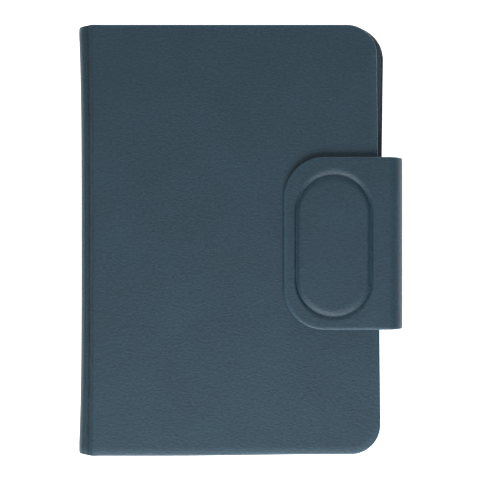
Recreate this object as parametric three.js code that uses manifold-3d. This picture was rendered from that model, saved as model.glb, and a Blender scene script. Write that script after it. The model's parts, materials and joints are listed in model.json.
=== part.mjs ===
// A folio case for a ten-inch tablet, with a keyboard in its front half and a magnetic clasp, lying closed on
// its back. Millimetres, +Z up. +X points from the spine to the clasp, +Y along the spine. The origin is the
// middle of the footprint, on the surface that the case lies on. The keys look down at the tablet's screen.
import * as THREE from "three";
import { mergeVertices } from "three/addons/utils/BufferGeometryUtils.js";
import Module from "manifold-3d";

// ---- Driving dimensions ----
const CASE_LENGTH = 262; // along the spine
const CASE_WIDTH = 198; // spine to clasp
const CASE_HEIGHT = 25; // closed, clasp included
const PANEL_CORNER = 18.3; // radius of the panels' two corners at the fore-edge
const BACK_EDGE_X = 86.3; // fore-edge of the tablet half
const FRONT_EDGE_X = 84.2; // fore-edge of the keyboard half
const SKIN = 0.8; // leather over a board
const RIM = 1.2; // leather turned round a board's edge
const GAP = 0.1; // glue line between two pieces of one body
const CLEARANCE = 0.3; // between pieces that move on each other

// Levels, from the table up
const BACK_TOP = 2.6;
const TRAY_FLOOR = 2.7;
const TRAY_SEAT = 3.95;
const TABLET_BACK = 4.2;
const TABLET_FRONT = 11.7;
const TRAY_RIM = 12.3;
const DECK_FACE = 12.8;
const KEY_TOP = 13.1;
const WELL_FACE = 14.2;
const WELL_BACK = 15.1;
const DECK_BACK = 14.0;
const KEY_FLANGE = 15.3;
const MEMBRANE_FACE = 17.0;
const MEMBRANE_THICKNESS = 0.3;
const BOARD_FACE = 17.4;
const BOARD_THICKNESS = 0.5;
const FRAME_BACK = 18.0;
const BASE_FACE = 18.1;
const BASE_BACK = 19.1;
const FRONT_BOTTOM = 19.2;
const FRONT_TOP = 22;
const PAD_BOTTOM = 22.4;

// Spine and its two soft bends
const BEND_RADIUS = 7;
const BEND_LEATHER = 1;
const SPINE_BOARD = 1.2;
const LINING = 0.4;
const LINING_OVERLAP = 1; // the spine's lining past its board
const SPINE_X = -CASE_WIDTH / 2;
const BEND_X = SPINE_X + BEND_RADIUS;
const LOW_BEND_Z = BEND_RADIUS;
const HIGH_BEND_Z = FRONT_TOP - BEND_RADIUS;
const ANCHOR_END_X = -87.6;

// Tablet, its tray and the tray's windows
const TABLET = { width: 174.1, length: 250.6 };
const TABLET_PLAY = 0.35; // between the tablet and the tray's walls
const TRAY = { right: 84.6, wall: 1.3, lip: 0.8, corner: 12 };
const TRAY_HALF_LENGTH = TABLET.length / 2 + TABLET_PLAY + TRAY.wall;
const TRAY_LEFT = TRAY.right - TABLET.width - 2 * (TABLET_PLAY + TRAY.wall);
const CAMERA = { x: 72, y: 113, hole: 6.5, bezel: 7.9 };
const PORT_WINDOW = { x: -4.1, width: 16, low: 4.8, high: 10.2 };
const SPEAKER_WINDOW = { offset: 48, width: 24, low: 6, high: 9.6 };
const BUTTON = { low: 5.6, high: 9.8, thickness: 1 };
const VOLUME_BUTTON_Y = [92, 78];
const VOLUME_BUTTON_LENGTH = 12;
const POWER_BUTTON = { x: 62, length: 14 };

// Kickstand flap, which is the spine side of the back panel
const KICKSTAND_HINGE_X = 0;
const KICKSTAND_EDGE_X = -87.2;
const KEEPER = { x: -80, width: 8, length: 120, low: 2.75, high: 3.15 };
const STAND_MAGNET = { y: 40, width: 6, length: 20 };

// Clasp
const CLASP_Y = -2.1;
const CLASP_LENGTH = 104.8;
const CLASP_LEFT_X = 26.2;
const CLASP_CORNER = 25;
const CLASP_THICKNESS = 2.6;
const CLASP_LOW_RADIUS = 8;
const CLASP_HIGH_RADIUS = 9;
const CLASP_X = CASE_WIDTH / 2;
const RING = { x: 56, y: -2.7, halfWidth: 21.9, halfLength: 43.3, groove: 5, depth: 0.5 };
const CLASP_MAGNET = { x: 56, offset: 30, width: 26, length: 10 };
const CLOSURE_PLATE = { left: 34, right: 78, halfLength: 42, low: 20.5, high: 21 };

// Keyboard
const KEYBOARD = { left: -88, right: 81.4, halfLength: 127.4, wall: 1.6, foreCorner: 15, spineCorner: 5 };
const KEY_UNIT = 242 / 14.5;
const KEY_PITCH = 16.4;
const FUNCTION_PITCH = 10;
const KEY_ROWS_LEFT = -82;
const KEY_GAP = 2; // between the tops of two keys
const KEY_TAPER = 0.5; // how much a key's top is drawn in on each side
const HOLE_GAP = 0.4; // round a key, in the deck
const FLANGE_GAP = 0.8; // between the flanges of two keys, behind the deck
const FLANGE_THICKNESS = 0.4;
const WELL_MARGIN = 1; // round the keys, to the well's edge
const WELL_CORNER = 2;
const WELL_WALL = 1;
const TRACKPAD = { left: 18, right: 74, halfLength: 50, face: 12.9, corner: 3, flange: 1, thickness: 0.45 };
const SWITCH = { x: 40, length: 6, travel: 3, low: 15, high: 17, proud: 1, inside: 3 };
const STATUS_LIGHT = { x: 76, y: -112, radius: 1.2 };
const LIGHT_BACK = DECK_BACK + 1;
const BUMPER = { halfLength: 60, width: 2, low: 12.45, high: 12.75, y: 126.2 };
const CHARGE_PORT = { x: 31, width: 8.9, low: 14.2, high: 17, depth: 7, hollow: 5, wall: 0.35 };
const CONTROL_BOARD = { left: 19, right: 60, near: 66, far: 119, low: 17.1, high: 17.9 };
const BATTERY = { left: 20, right: 72, near: 60, far: 118, low: 14.4, high: 17.6 };

const CURVE_STEPS = 12; // straight pieces in an arc
const FINE_STEPS = 4; // straight pieces in a small corner's arc
const BEND_STEPS = 5; // straight pieces in half of a bend
const THROUGH = 1; // how far a cutting solid runs past the piece that it cuts
const SLIVER = 0.05; // overlap that joins two solids of one piece

const wasm = await Module();
wasm.setup();

// ---- Solids ----

// A three.js geometry as a manifold solid.
function solidOf(geometry) {
  const bare = geometry.index ? geometry.toNonIndexed() : geometry.clone();
  bare.deleteAttribute("normal");
  bare.deleteAttribute("uv");
  const merged = mergeVertices(bare, 1e-4);
  const vertProperties = merged.attributes.position.array;
  const triVerts = new Uint32Array(merged.index.array);
  return new wasm.Manifold(new wasm.Mesh({ numProp: 3, vertProperties, triVerts }));
}

// A manifold solid as a three.js geometry.
function geometryOf(solid) {
  const mesh = solid.getMesh();
  const geometry = new THREE.BufferGeometry();
  geometry.setAttribute("position", new THREE.BufferAttribute(mesh.vertProperties, 3));
  geometry.setIndex(new THREE.BufferAttribute(mesh.triVerts, 1));
  const flat = geometry.toNonIndexed();
  flat.computeVertexNormals();
  return flat;
}

// An outline with its own radius at each corner. Radii: left (-X) and right (+X), the same at both ends.
function outline(box, leftRadius, rightRadius, inset = 0) {
  const left = box.left + inset;
  const right = box.right - inset;
  const low = box.low + inset;
  const high = box.high - inset;
  const near = Math.max(leftRadius - inset, 0);
  const far = Math.max(rightRadius - inset, 0);
  const shape = new THREE.Shape();
  shape.moveTo(left + near, low);
  shape.lineTo(right - far, low);
  if (far) shape.absarc(right - far, low + far, far, -Math.PI / 2, 0);
  shape.lineTo(right, high - far);
  if (far) shape.absarc(right - far, high - far, far, 0, Math.PI / 2);
  shape.lineTo(left + near, high);
  if (near) shape.absarc(left + near, high - near, near, Math.PI / 2, Math.PI);
  shape.lineTo(left, low + near);
  if (near) shape.absarc(left + near, low + near, near, Math.PI, 1.5 * Math.PI);
  return shape;
}

// A plate of an outline in the XY plane, from one level to another.
function plate(shape, bottom, top, steps = CURVE_STEPS) {
  const geometry = new THREE.ExtrudeGeometry(shape, {
    depth: top - bottom,
    bevelEnabled: false,
    curveSegments: steps,
  });
  geometry.translate(0, 0, bottom);
  return solidOf(geometry);
}

// A section in the XZ plane, carried along Y.
function section(shape, start, end, steps = BEND_STEPS) {
  const geometry = new THREE.ExtrudeGeometry(shape, {
    depth: end - start,
    bevelEnabled: false,
    curveSegments: steps,
  });
  geometry.rotateX(Math.PI / 2);
  geometry.translate(0, end, 0);
  return solidOf(geometry);
}

function block(x0, x1, y0, y1, z0, z1) {
  const geometry = new THREE.BoxGeometry(x1 - x0, y1 - y0, z1 - z0);
  geometry.translate((x0 + x1) / 2, (y0 + y1) / 2, (z0 + z1) / 2);
  return solidOf(geometry);
}

function disc(x, y, radius, bottom, top, sides = 24) {
  const geometry = new THREE.CylinderGeometry(radius, radius, top - bottom, sides);
  geometry.rotateX(Math.PI / 2);
  geometry.translate(x, y, (bottom + top) / 2);
  return solidOf(geometry);
}

// The section of a bend in a sheet, between two angles about its centre.
function bendSection(centreX, centreZ, outer, inner, from, to) {
  const shape = new THREE.Shape();
  shape.absarc(centreX, centreZ, outer, from, to);
  shape.absarc(centreX, centreZ, inner, to, from, true);
  return shape;
}

// ---- Assembly ----
const root = new THREE.Group();

function finish(color, roughness, metalness = 0) {
  return () => new THREE.MeshStandardMaterial({ color, roughness, metalness });
}

const leather = finish(0x3d4e59, 0.55);
const greyBoard = finish(0x8c8578, 0.9);
const microfibre = finish(0x39424a, 0.95);
const shellPlastic = finish(0x2c343b, 0.5);
const keyPlastic = finish(0x23282d, 0.45);
const steel = finish(0xa9adb0, 0.35, 1);
const magnet = finish(0xb9bcc0, 0.3, 1);
const rubber = finish(0x1c1f22, 0.85);
const laminate = finish(0x1f4a33, 0.5);
const foil = finish(0x9a9ea3, 0.4, 0.8);
const glass = finish(0xe8ecef, 0.2);

function addPart(name, solid, material) {
  const mesh = new THREE.Mesh(geometryOf(solid), material());
  mesh.name = name;
  root.add(mesh);
}

const halfLength = CASE_LENGTH / 2;
const HALF_TURN = Math.PI;
const CUT = 0.026; // half the angle left open where a bend is cut in two, in radians
const BEND_JOIN = 0.01; // angle that a bend runs into its panel

// ---- Back panel: the fixed half, at the fore-edge ----
function panelBox(left, right) {
  return { left, right, low: -halfLength, high: halfLength };
}

const backBox = panelBox(KICKSTAND_HINGE_X + CLEARANCE, BACK_EDGE_X);
const cameraHole = disc(CAMERA.x, CAMERA.y, CAMERA.bezel + GAP, -THROUGH, TRAY_FLOOR);

function backPanel() {
  const skin = plate(outline(backBox, 0, PANEL_CORNER), 0, BACK_TOP)
    .subtract(plate(outline(backBox, 0, PANEL_CORNER, RIM), SKIN, BACK_TOP + THROUGH))
    .subtract(cameraHole);
  const board = plate(outline(backBox, 0, PANEL_CORNER, RIM + GAP), SKIN + GAP, BACK_TOP);
  const bezel = disc(CAMERA.x, CAMERA.y, CAMERA.bezel, GAP, BACK_TOP - GAP);
  addPart("back_panel_skin", skin, leather);
  addPart("back_panel_board", board.subtract(cameraHole), greyBoard);
  const bezelHole = disc(CAMERA.x, CAMERA.y, CAMERA.hole, -THROUGH, TRAY_FLOOR);
  addPart("camera_bezel", bezel.subtract(bezelHole), shellPlastic);
}

// ---- Kickstand: the flap at the spine side of the back panel ----
function kickstand() {
  const box = panelBox(KICKSTAND_EDGE_X, KICKSTAND_HINGE_X - CLEARANCE);
  const top = BACK_TOP - GAP;
  const skin = plate(outline(box, 0, 0), 0, top);
  const hollow = plate(outline(box, 0, 0, RIM), SKIN, top + THROUGH);
  addPart("kickstand_skin", skin.subtract(hollow), leather);
  let board = plate(outline(box, 0, 0, RIM + GAP), SKIN + GAP, top - GAP);
  for (const [name, side] of [["kickstand_magnet_upper", 1], ["kickstand_magnet_lower", -1]]) {
    const x = KEEPER.x;
    const y = side * STAND_MAGNET.y;
    const half = { x: STAND_MAGNET.width / 2, y: STAND_MAGNET.length / 2 };
    const floor = SKIN + 2 * GAP;
    const pocket = { x: half.x + GAP, y: half.y + GAP };
    board = board.subtract(block(x - pocket.x, x + pocket.x, y - pocket.y, y + pocket.y, 0, top + THROUGH));
    addPart(name, block(x - half.x, x + half.x, y - half.y, y + half.y, floor, top - GAP), magnet);
  }
  addPart("kickstand_board", board, greyBoard);
}

// ---- Tablet tray, with its windows, buttons and lining ----
const trayBox = { left: TRAY_LEFT, right: TRAY.right, low: -TRAY_HALF_LENGTH, high: TRAY_HALF_LENGTH };

function trayOutline(inset) {
  return outline(trayBox, TRAY.corner, TRAY.corner, inset);
}

function tray() {
  const farWall = -TRAY_HALF_LENGTH;
  const window = (x, width, low, high) =>
    block(x - width / 2, x + width / 2, farWall - THROUGH, farWall + TRAY.wall + THROUGH, low, high);
  let shell = plate(trayOutline(0), TRAY_FLOOR, TRAY_RIM)
    .subtract(plate(trayOutline(TRAY.wall), TRAY_SEAT, TABLET_FRONT))
    .subtract(plate(trayOutline(TRAY.wall + TRAY.lip), TRAY_SEAT, TRAY_RIM + THROUGH))
    .subtract(disc(CAMERA.x, CAMERA.y, CAMERA.hole, 0, TABLET_BACK))
    .subtract(window(PORT_WINDOW.x, PORT_WINDOW.width, PORT_WINDOW.low, PORT_WINDOW.high));
  for (const side of [-1, 1]) {
    const x = PORT_WINDOW.x + side * SPEAKER_WINDOW.offset;
    shell = shell.subtract(window(x, SPEAKER_WINDOW.width, SPEAKER_WINDOW.low, SPEAKER_WINDOW.high));
  }
  const keeperHalf = { x: KEEPER.width / 2, y: KEEPER.length / 2 };
  const recess = block(
    KEEPER.x - keeperHalf.x - GAP,
    KEEPER.x + keeperHalf.x + GAP,
    -keeperHalf.y - GAP,
    keeperHalf.y + GAP,
    0,
    KEEPER.high + GAP,
  );
  const keeper = block(
    KEEPER.x - keeperHalf.x,
    KEEPER.x + keeperHalf.x,
    -keeperHalf.y,
    keeperHalf.y,
    KEEPER.low,
    KEEPER.high,
  );
  shell = shell.subtract(recess);
  addPart("keeper_plate", keeper, steel);
  shell = volumeButtons(shell);
  shell = powerButton(shell);
  addPart("tablet_tray", shell, shellPlastic);
  const lining = plate(trayOutline(TRAY.wall + GAP), TRAY_SEAT + SLIVER, TABLET_BACK);
  const view = disc(CAMERA.x, CAMERA.y, CAMERA.hole, 0, TABLET_BACK + THROUGH);
  addPart("tray_lining", lining.subtract(view), microfibre);
}

// Each button cover fills a window in the tray's wall, flush with its outside, with a foot inside the wall.
function volumeButtons(shell) {
  const outer = TRAY.right;
  let cut = shell;
  VOLUME_BUTTON_Y.forEach((y, i) => {
    const half = VOLUME_BUTTON_LENGTH / 2;
    const room = half + CLEARANCE;
    const low = BUTTON.low - CLEARANCE;
    const high = BUTTON.high + CLEARANCE;
    const from = outer - TRAY.wall - THROUGH;
    cut = cut.subtract(block(from, outer + THROUGH, y - room, y + room, low, high));
    const cover = block(outer - BUTTON.thickness, outer, y - half, y + half, BUTTON.low, BUTTON.high);
    addPart(["volume_up_cover", "volume_down_cover"][i], cover, shellPlastic);
  });
  return cut;
}

function powerButton(shell) {
  const outer = TRAY_HALF_LENGTH;
  const half = POWER_BUTTON.length / 2;
  const room = half + CLEARANCE;
  const low = BUTTON.low - CLEARANCE;
  const high = BUTTON.high + CLEARANCE;
  const x = POWER_BUTTON.x;
  const cover = block(x - half, x + half, outer - BUTTON.thickness, outer, BUTTON.low, BUTTON.high);
  addPart("power_button_cover", cover, shellPlastic);
  const from = outer - TRAY.wall - THROUGH;
  return shell.subtract(block(x - room, x + room, from, outer + THROUGH, low, high));
}

// ---- Spine: skin with half of each bend, board and lining ----
function spine() {
  const inner = BEND_RADIUS - BEND_LEATHER;
  const shape = new THREE.Shape();
  shape.absarc(BEND_X, HIGH_BEND_Z, BEND_RADIUS, 0.75 * HALF_TURN + CUT, HALF_TURN);
  shape.absarc(BEND_X, LOW_BEND_Z, BEND_RADIUS, HALF_TURN, 1.25 * HALF_TURN - CUT);
  shape.absarc(BEND_X, LOW_BEND_Z, inner, 1.25 * HALF_TURN - CUT, HALF_TURN, true);
  shape.absarc(BEND_X, HIGH_BEND_Z, inner, HALF_TURN, 0.75 * HALF_TURN + CUT, true);
  addPart("spine_skin", section(shape, -halfLength, halfLength), leather);
  const boardX = SPINE_X + BEND_LEATHER + GAP;
  const boardEnd = halfLength - RIM;
  const board = block(boardX, boardX + SPINE_BOARD, -boardEnd, boardEnd, LOW_BEND_Z, HIGH_BEND_Z);
  addPart("spine_board", board, greyBoard);
  const liningX = boardX + SPINE_BOARD + GAP;
  const low = LOW_BEND_Z - LINING_OVERLAP;
  const high = HIGH_BEND_Z + LINING_OVERLAP;
  const lining = block(liningX, liningX + LINING, -boardEnd, boardEnd, low, high);
  addPart("spine_lining", lining, microfibre);
}

// The back half's own side of the lower bend, with the strip that holds the tray to it.
function spineAnchor() {
  const inner = BEND_RADIUS - BEND_LEATHER;
  const shape = new THREE.Shape();
  shape.absarc(BEND_X, LOW_BEND_Z, BEND_RADIUS, 1.25 * HALF_TURN + CUT, 1.5 * HALF_TURN);
  shape.lineTo(ANCHOR_END_X, 0);
  shape.lineTo(ANCHOR_END_X, BACK_TOP);
  shape.lineTo(BEND_X, BACK_TOP);
  shape.absarc(BEND_X, LOW_BEND_Z, inner, 1.5 * HALF_TURN, 1.25 * HALF_TURN + CUT, true);
  addPart("spine_anchor_strip", section(shape, -halfLength, halfLength), leather);
}

// ---- Front panel: skin with its side of the upper bend, board, closure plate and lining ----
function frontPanel() {
  const box = panelBox(BEND_X, FRONT_EDGE_X);
  const roof = FRONT_TOP - SKIN;
  const bend = bendSection(
    BEND_X,
    HIGH_BEND_Z,
    BEND_RADIUS,
    BEND_RADIUS - BEND_LEATHER,
    0.5 * HALF_TURN - BEND_JOIN,
    0.75 * HALF_TURN - CUT,
  );
  const skin = plate(outline(box, 0, PANEL_CORNER), FRONT_BOTTOM, FRONT_TOP)
    .subtract(plate(outline(box, 0, PANEL_CORNER, RIM), FRONT_BOTTOM - THROUGH, roof))
    .add(section(bend, -halfLength, halfLength));
  addPart("front_panel_skin", skin, leather);
  const seat = block(
    CLOSURE_PLATE.left - GAP,
    CLOSURE_PLATE.right + GAP,
    CLASP_Y - CLOSURE_PLATE.halfLength - GAP,
    CLASP_Y + CLOSURE_PLATE.halfLength + GAP,
    CLOSURE_PLATE.low - GAP,
    FRONT_TOP,
  );
  const boardBottom = FRONT_BOTTOM + LINING + GAP;
  const board = plate(outline(box, 0, PANEL_CORNER, RIM + GAP), boardBottom, roof - GAP);
  addPart("front_panel_board", board.subtract(seat), greyBoard);
  const closure = block(
    CLOSURE_PLATE.left,
    CLOSURE_PLATE.right,
    CLASP_Y - CLOSURE_PLATE.halfLength,
    CLASP_Y + CLOSURE_PLATE.halfLength,
    CLOSURE_PLATE.low,
    CLOSURE_PLATE.high,
  );
  addPart("closure_plate", closure, steel);
  const lining = plate(outline(box, 0, PANEL_CORNER, RIM + GAP), FRONT_BOTTOM, boardBottom - GAP);
  addPart("front_panel_lining", lining, microfibre);
}

// ---- Keyboard ----
// Each row runs along Y from the typist's left (+Y). A key of width n is n units wide; joined runs are one
// piece, because the keys of one row are held by one carrier.
const ROWS = [
  { pitch: FUNCTION_PITCH, pieces: [{ name: "function_keys", widths: Array(14).fill(14.5 / 14) }] },
  {
    pitch: KEY_PITCH,
    pieces: [
      { name: "number_keys", widths: Array(13).fill(1) },
      { name: "backspace_key", widths: [1.5] },
    ],
  },
  {
    pitch: KEY_PITCH,
    pieces: [
      { name: "tab_key", widths: [1.5] },
      { name: "upper_letter_keys", widths: Array(13).fill(1) },
    ],
  },
  {
    pitch: KEY_PITCH,
    pieces: [
      { name: "caps_lock_key", widths: [1.75] },
      { name: "home_letter_keys", widths: Array(11).fill(1) },
      { name: "enter_key", widths: [1.75] },
    ],
  },
  {
    pitch: KEY_PITCH,
    pieces: [
      { name: "left_shift_key", widths: [2.25] },
      { name: "lower_letter_keys", widths: Array(10).fill(1) },
      { name: "right_shift_key", widths: [2.25] },
    ],
  },
  {
    pitch: KEY_PITCH,
    pieces: [
      { name: "left_modifier_keys", widths: [1, 1, 1, 1.25] },
      { name: "space_bar", widths: [5.25] },
      { name: "right_modifier_keys", widths: [1, 1] },
      { name: "arrow_left_key", widths: [1] },
      { name: "arrow_up_key", widths: [1], half: "first" },
      { name: "arrow_down_key", widths: [1], half: "second" },
      { name: "arrow_right_key", widths: [1] },
    ],
  },
];
const ROW_LENGTH = 14.5 * KEY_UNIT;

// A key's body: square sides where it passes the deck, its top drawn in a little.
function keyCap(cell) {
  const gap = KEY_GAP / 2;
  const wide = cell.y1 - cell.y0 - KEY_GAP;
  const deep = cell.x1 - cell.x0 - KEY_GAP;
  const tall = KEY_FLANGE + SLIVER - KEY_TOP;
  const geometry = new THREE.BoxGeometry(deep, wide, tall);
  const points = geometry.attributes.position;
  for (let i = 0; i < points.count; i++) {
    if (points.getZ(i) > 0) continue;
    points.setX(i, points.getX(i) - Math.sign(points.getX(i)) * KEY_TAPER);
    points.setY(i, points.getY(i) - Math.sign(points.getY(i)) * KEY_TAPER);
  }
  geometry.translate(cell.x0 + gap + deep / 2, cell.y0 + gap + wide / 2, KEY_TOP + tall / 2);
  return solidOf(geometry);
}

function keyHole(cell) {
  const side = KEY_GAP / 2 - HOLE_GAP;
  return block(cell.x0 + side, cell.x1 - side, cell.y0 + side, cell.y1 - side, DECK_FACE, WELL_BACK + SLIVER);
}

// The keys as cells, with x0..x1 across the rows and y0..y1 along them.
function keyLayout() {
  const pieces = [];
  let x0 = KEY_ROWS_LEFT;
  for (const row of ROWS) {
    const x1 = x0 + row.pitch;
    let high = ROW_LENGTH / 2;
    for (const piece of row.pieces) {
      const middle = (x0 + x1) / 2;
      const span = { first: [x0, middle], second: [middle, x1] }[piece.half] ?? [x0, x1];
      const cells = [];
      for (const width of piece.widths) {
        const low = high - width * KEY_UNIT;
        cells.push({ x0: span[0], x1: span[1], y0: low, y1: high });
        high = low;
      }
      if (piece.half === "first") high = cells[0].y1;
      pieces.push({ name: piece.name, cells });
    }
    x0 = x1;
  }
  return { pieces, right: x0 };
}

function keys(layout) {
  for (const { name, cells } of layout.pieces) {
    const side = FLANGE_GAP / 2;
    const first = cells[0];
    const last = cells[cells.length - 1];
    let piece = block(
      first.x0 + side,
      first.x1 - side,
      last.y0 + side,
      first.y1 - side,
      KEY_FLANGE,
      KEY_FLANGE + FLANGE_THICKNESS,
    );
    for (const cell of cells) piece = piece.add(keyCap(cell));
    addPart(name, piece, keyPlastic);
  }
}

const keyboardBox = {
  left: KEYBOARD.left,
  right: KEYBOARD.right,
  low: -KEYBOARD.halfLength,
  high: KEYBOARD.halfLength,
};

function keyboardOutline(inset) {
  return outline(keyboardBox, KEYBOARD.spineCorner, KEYBOARD.foreCorner, inset);
}

function keyboardCase(layout) {
  const well = {
    left: KEY_ROWS_LEFT - WELL_MARGIN,
    right: layout.right + WELL_MARGIN,
    low: -ROW_LENGTH / 2 - WELL_MARGIN,
    high: ROW_LENGTH / 2 + WELL_MARGIN,
  };
  const wallInset = KEYBOARD.wall;
  const inside = plate(keyboardOutline(wallInset), DECK_BACK, FRAME_BACK + THROUGH);
  const wellRib = block(
    well.left - WELL_WALL,
    well.right + WELL_WALL,
    well.low - WELL_WALL,
    well.high + WELL_WALL,
    DECK_BACK - SLIVER,
    WELL_BACK,
  );
  let frame = plate(keyboardOutline(0), DECK_FACE, FRAME_BACK)
    .subtract(inside.subtract(wellRib))
    .subtract(plate(outline(well, WELL_CORNER, WELL_CORNER), 0, WELL_FACE, FINE_STEPS));
  for (const { cells } of layout.pieces) for (const cell of cells) frame = frame.subtract(keyHole(cell));
  const padHole = {
    left: TRACKPAD.left,
    right: TRACKPAD.right,
    low: -TRACKPAD.halfLength,
    high: TRACKPAD.halfLength,
  };
  const padOutline = (inset) => outline(padHole, TRACKPAD.corner, TRACKPAD.corner, inset);
  const sideWall = KEYBOARD.halfLength;
  const switchSlot = block(
    SWITCH.x - CLEARANCE,
    SWITCH.x + SWITCH.length + SWITCH.travel + CLEARANCE,
    -sideWall - THROUGH,
    -sideWall + wallInset + THROUGH,
    SWITCH.low - CLEARANCE,
    SWITCH.high + CLEARANCE,
  );
  const portHole = block(
    CHARGE_PORT.x - CHARGE_PORT.width / 2 - GAP,
    CHARGE_PORT.x + CHARGE_PORT.width / 2 + GAP,
    sideWall - wallInset - THROUGH,
    sideWall + THROUGH,
    CHARGE_PORT.low - GAP,
    CHARGE_PORT.high + GAP,
  );
  const lens = (radius, bottom) => disc(STATUS_LIGHT.x, STATUS_LIGHT.y, radius, bottom, LIGHT_BACK);
  frame = frame
    .subtract(plate(padOutline(-CLEARANCE), 0, DECK_BACK + SLIVER, FINE_STEPS))
    .subtract(switchSlot)
    .subtract(portHole)
    .subtract(lens(STATUS_LIGHT.radius + GAP, 0));
  addPart("keyboard_frame", frame, shellPlastic);
  addPart("keyboard_base", plate(keyboardOutline(0), BASE_FACE, BASE_BACK), shellPlastic);
  const flangeFace = DECK_BACK + 1.5 * GAP;
  const flangeBack = flangeFace + TRACKPAD.thickness;
  const pad = plate(padOutline(0), TRACKPAD.face, flangeFace + SLIVER, FINE_STEPS);
  const padFlange = plate(padOutline(-TRACKPAD.flange), flangeFace, flangeBack, FINE_STEPS);
  addPart("trackpad", pad.add(padFlange), keyPlastic);
  const sheet = (bottom, top) =>
    block(KEY_ROWS_LEFT, layout.right, -ROW_LENGTH / 2, ROW_LENGTH / 2, bottom, top);
  addPart("key_membrane", sheet(MEMBRANE_FACE, MEMBRANE_FACE + MEMBRANE_THICKNESS), rubber);
  addPart("circuit_board", sheet(BOARD_FACE, BOARD_FACE + BOARD_THICKNESS), laminate);
  addPart("status_light", lens(STATUS_LIGHT.radius, DECK_FACE + GAP), glass);
}

function keyboardInside() {
  const c = CONTROL_BOARD;
  addPart("control_board", block(c.left, c.right, c.near, c.far, c.low, c.high), laminate);
  const b = BATTERY;
  addPart("battery_cell", block(b.left, b.right, -b.far, -b.near, b.low, b.high), foil);
  const outer = KEYBOARD.halfLength - GAP;
  const half = CHARGE_PORT.width / 2;
  const wall = CHARGE_PORT.wall;
  const shell = block(
    CHARGE_PORT.x - half,
    CHARGE_PORT.x + half,
    outer - CHARGE_PORT.depth,
    outer,
    CHARGE_PORT.low,
    CHARGE_PORT.high,
  );
  const hollow = block(
    CHARGE_PORT.x - half + wall,
    CHARGE_PORT.x + half - wall,
    outer - CHARGE_PORT.hollow,
    outer + THROUGH,
    CHARGE_PORT.low + wall,
    CHARGE_PORT.high - wall,
  );
  addPart("charging_port", shell.subtract(hollow), steel);
  const side = -KEYBOARD.halfLength;
  const end = SWITCH.x + SWITCH.length;
  const knob = block(SWITCH.x, end, side - SWITCH.proud, side + SWITCH.inside, SWITCH.low, SWITCH.high);
  addPart("power_slider", knob, keyPlastic);
  for (const [name, way] of [["bumper_left", 1], ["bumper_right", -1]]) {
    const y = way * BUMPER.y;
    const near = y - BUMPER.width / 2;
    const far = y + BUMPER.width / 2;
    addPart(name, block(-BUMPER.halfLength, BUMPER.halfLength, near, far, BUMPER.low, BUMPER.high), rubber);
  }
}

// ---- Clasp: a strap from the back panel round the fore-edge and over the front panel ----
const lowCentreX = CLASP_X - CLASP_LOW_RADIUS;
const highCentreX = CLASP_X - CLASP_HIGH_RADIUS;
const highCentreZ = CASE_HEIGHT - CLASP_HIGH_RADIUS;
const claspStart = CLASP_Y - CLASP_LENGTH / 2;
const claspEnd = CLASP_Y + CLASP_LENGTH / 2;

function claspAnchor() {
  const inner = CLASP_LOW_RADIUS - CLASP_THICKNESS;
  const shape = new THREE.Shape();
  shape.moveTo(BACK_EDGE_X + 2 * GAP, 0);
  shape.absarc(lowCentreX, CLASP_LOW_RADIUS, CLASP_LOW_RADIUS, 1.5 * HALF_TURN, 1.75 * HALF_TURN - CUT);
  shape.absarc(lowCentreX, CLASP_LOW_RADIUS, inner, 1.75 * HALF_TURN - CUT, 1.5 * HALF_TURN, true);
  shape.lineTo(BACK_EDGE_X + 2 * GAP, CLASP_THICKNESS);
  addPart("clasp_anchor", section(shape, claspStart, claspEnd), leather);
}

const CORE_CUT = 0.12; // angle by which the core stops short of the crease

// The wall's section, as thick as the strap less what is shaved off each side.
function claspWallSection(shaved) {
  const shape = new THREE.Shape();
  const outer = shaved;
  const inner = CLASP_THICKNESS - shaved;
  const angle = CUT + (shaved ? CORE_CUT : 0);
  const low = [lowCentreX, CLASP_LOW_RADIUS];
  const high = [highCentreX, highCentreZ];
  shape.absarc(...low, CLASP_LOW_RADIUS - outer, 1.75 * HALF_TURN + angle, 2 * HALF_TURN);
  shape.absarc(...high, CLASP_HIGH_RADIUS - outer, 0, 0.25 * HALF_TURN - angle);
  shape.absarc(...high, CLASP_HIGH_RADIUS - inner, 0.25 * HALF_TURN - angle, 0, true);
  shape.absarc(...low, CLASP_LOW_RADIUS - inner, 2 * HALF_TURN, 1.75 * HALF_TURN + angle, true);
  return shape;
}

function claspWall() {
  const skin = section(claspWallSection(0), claspStart, claspEnd);
  const slot = section(claspWallSection(SKIN), claspStart - THROUGH, claspEnd - RIM);
  const core = section(claspWallSection(SKIN + GAP), claspStart + GAP, claspEnd - RIM - GAP);
  addPart("clasp_wall_skin", skin.subtract(slot), leather);
  addPart("clasp_wall_core", core, greyBoard);
}

function stadium(inset) {
  const radius = RING.halfWidth - inset;
  const straight = RING.halfLength - RING.halfWidth;
  const shape = new THREE.Shape();
  shape.absarc(RING.x, RING.y + straight, radius, 0, HALF_TURN);
  shape.absarc(RING.x, RING.y - straight, radius, HALF_TURN, 2 * HALF_TURN);
  return shape;
}

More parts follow.
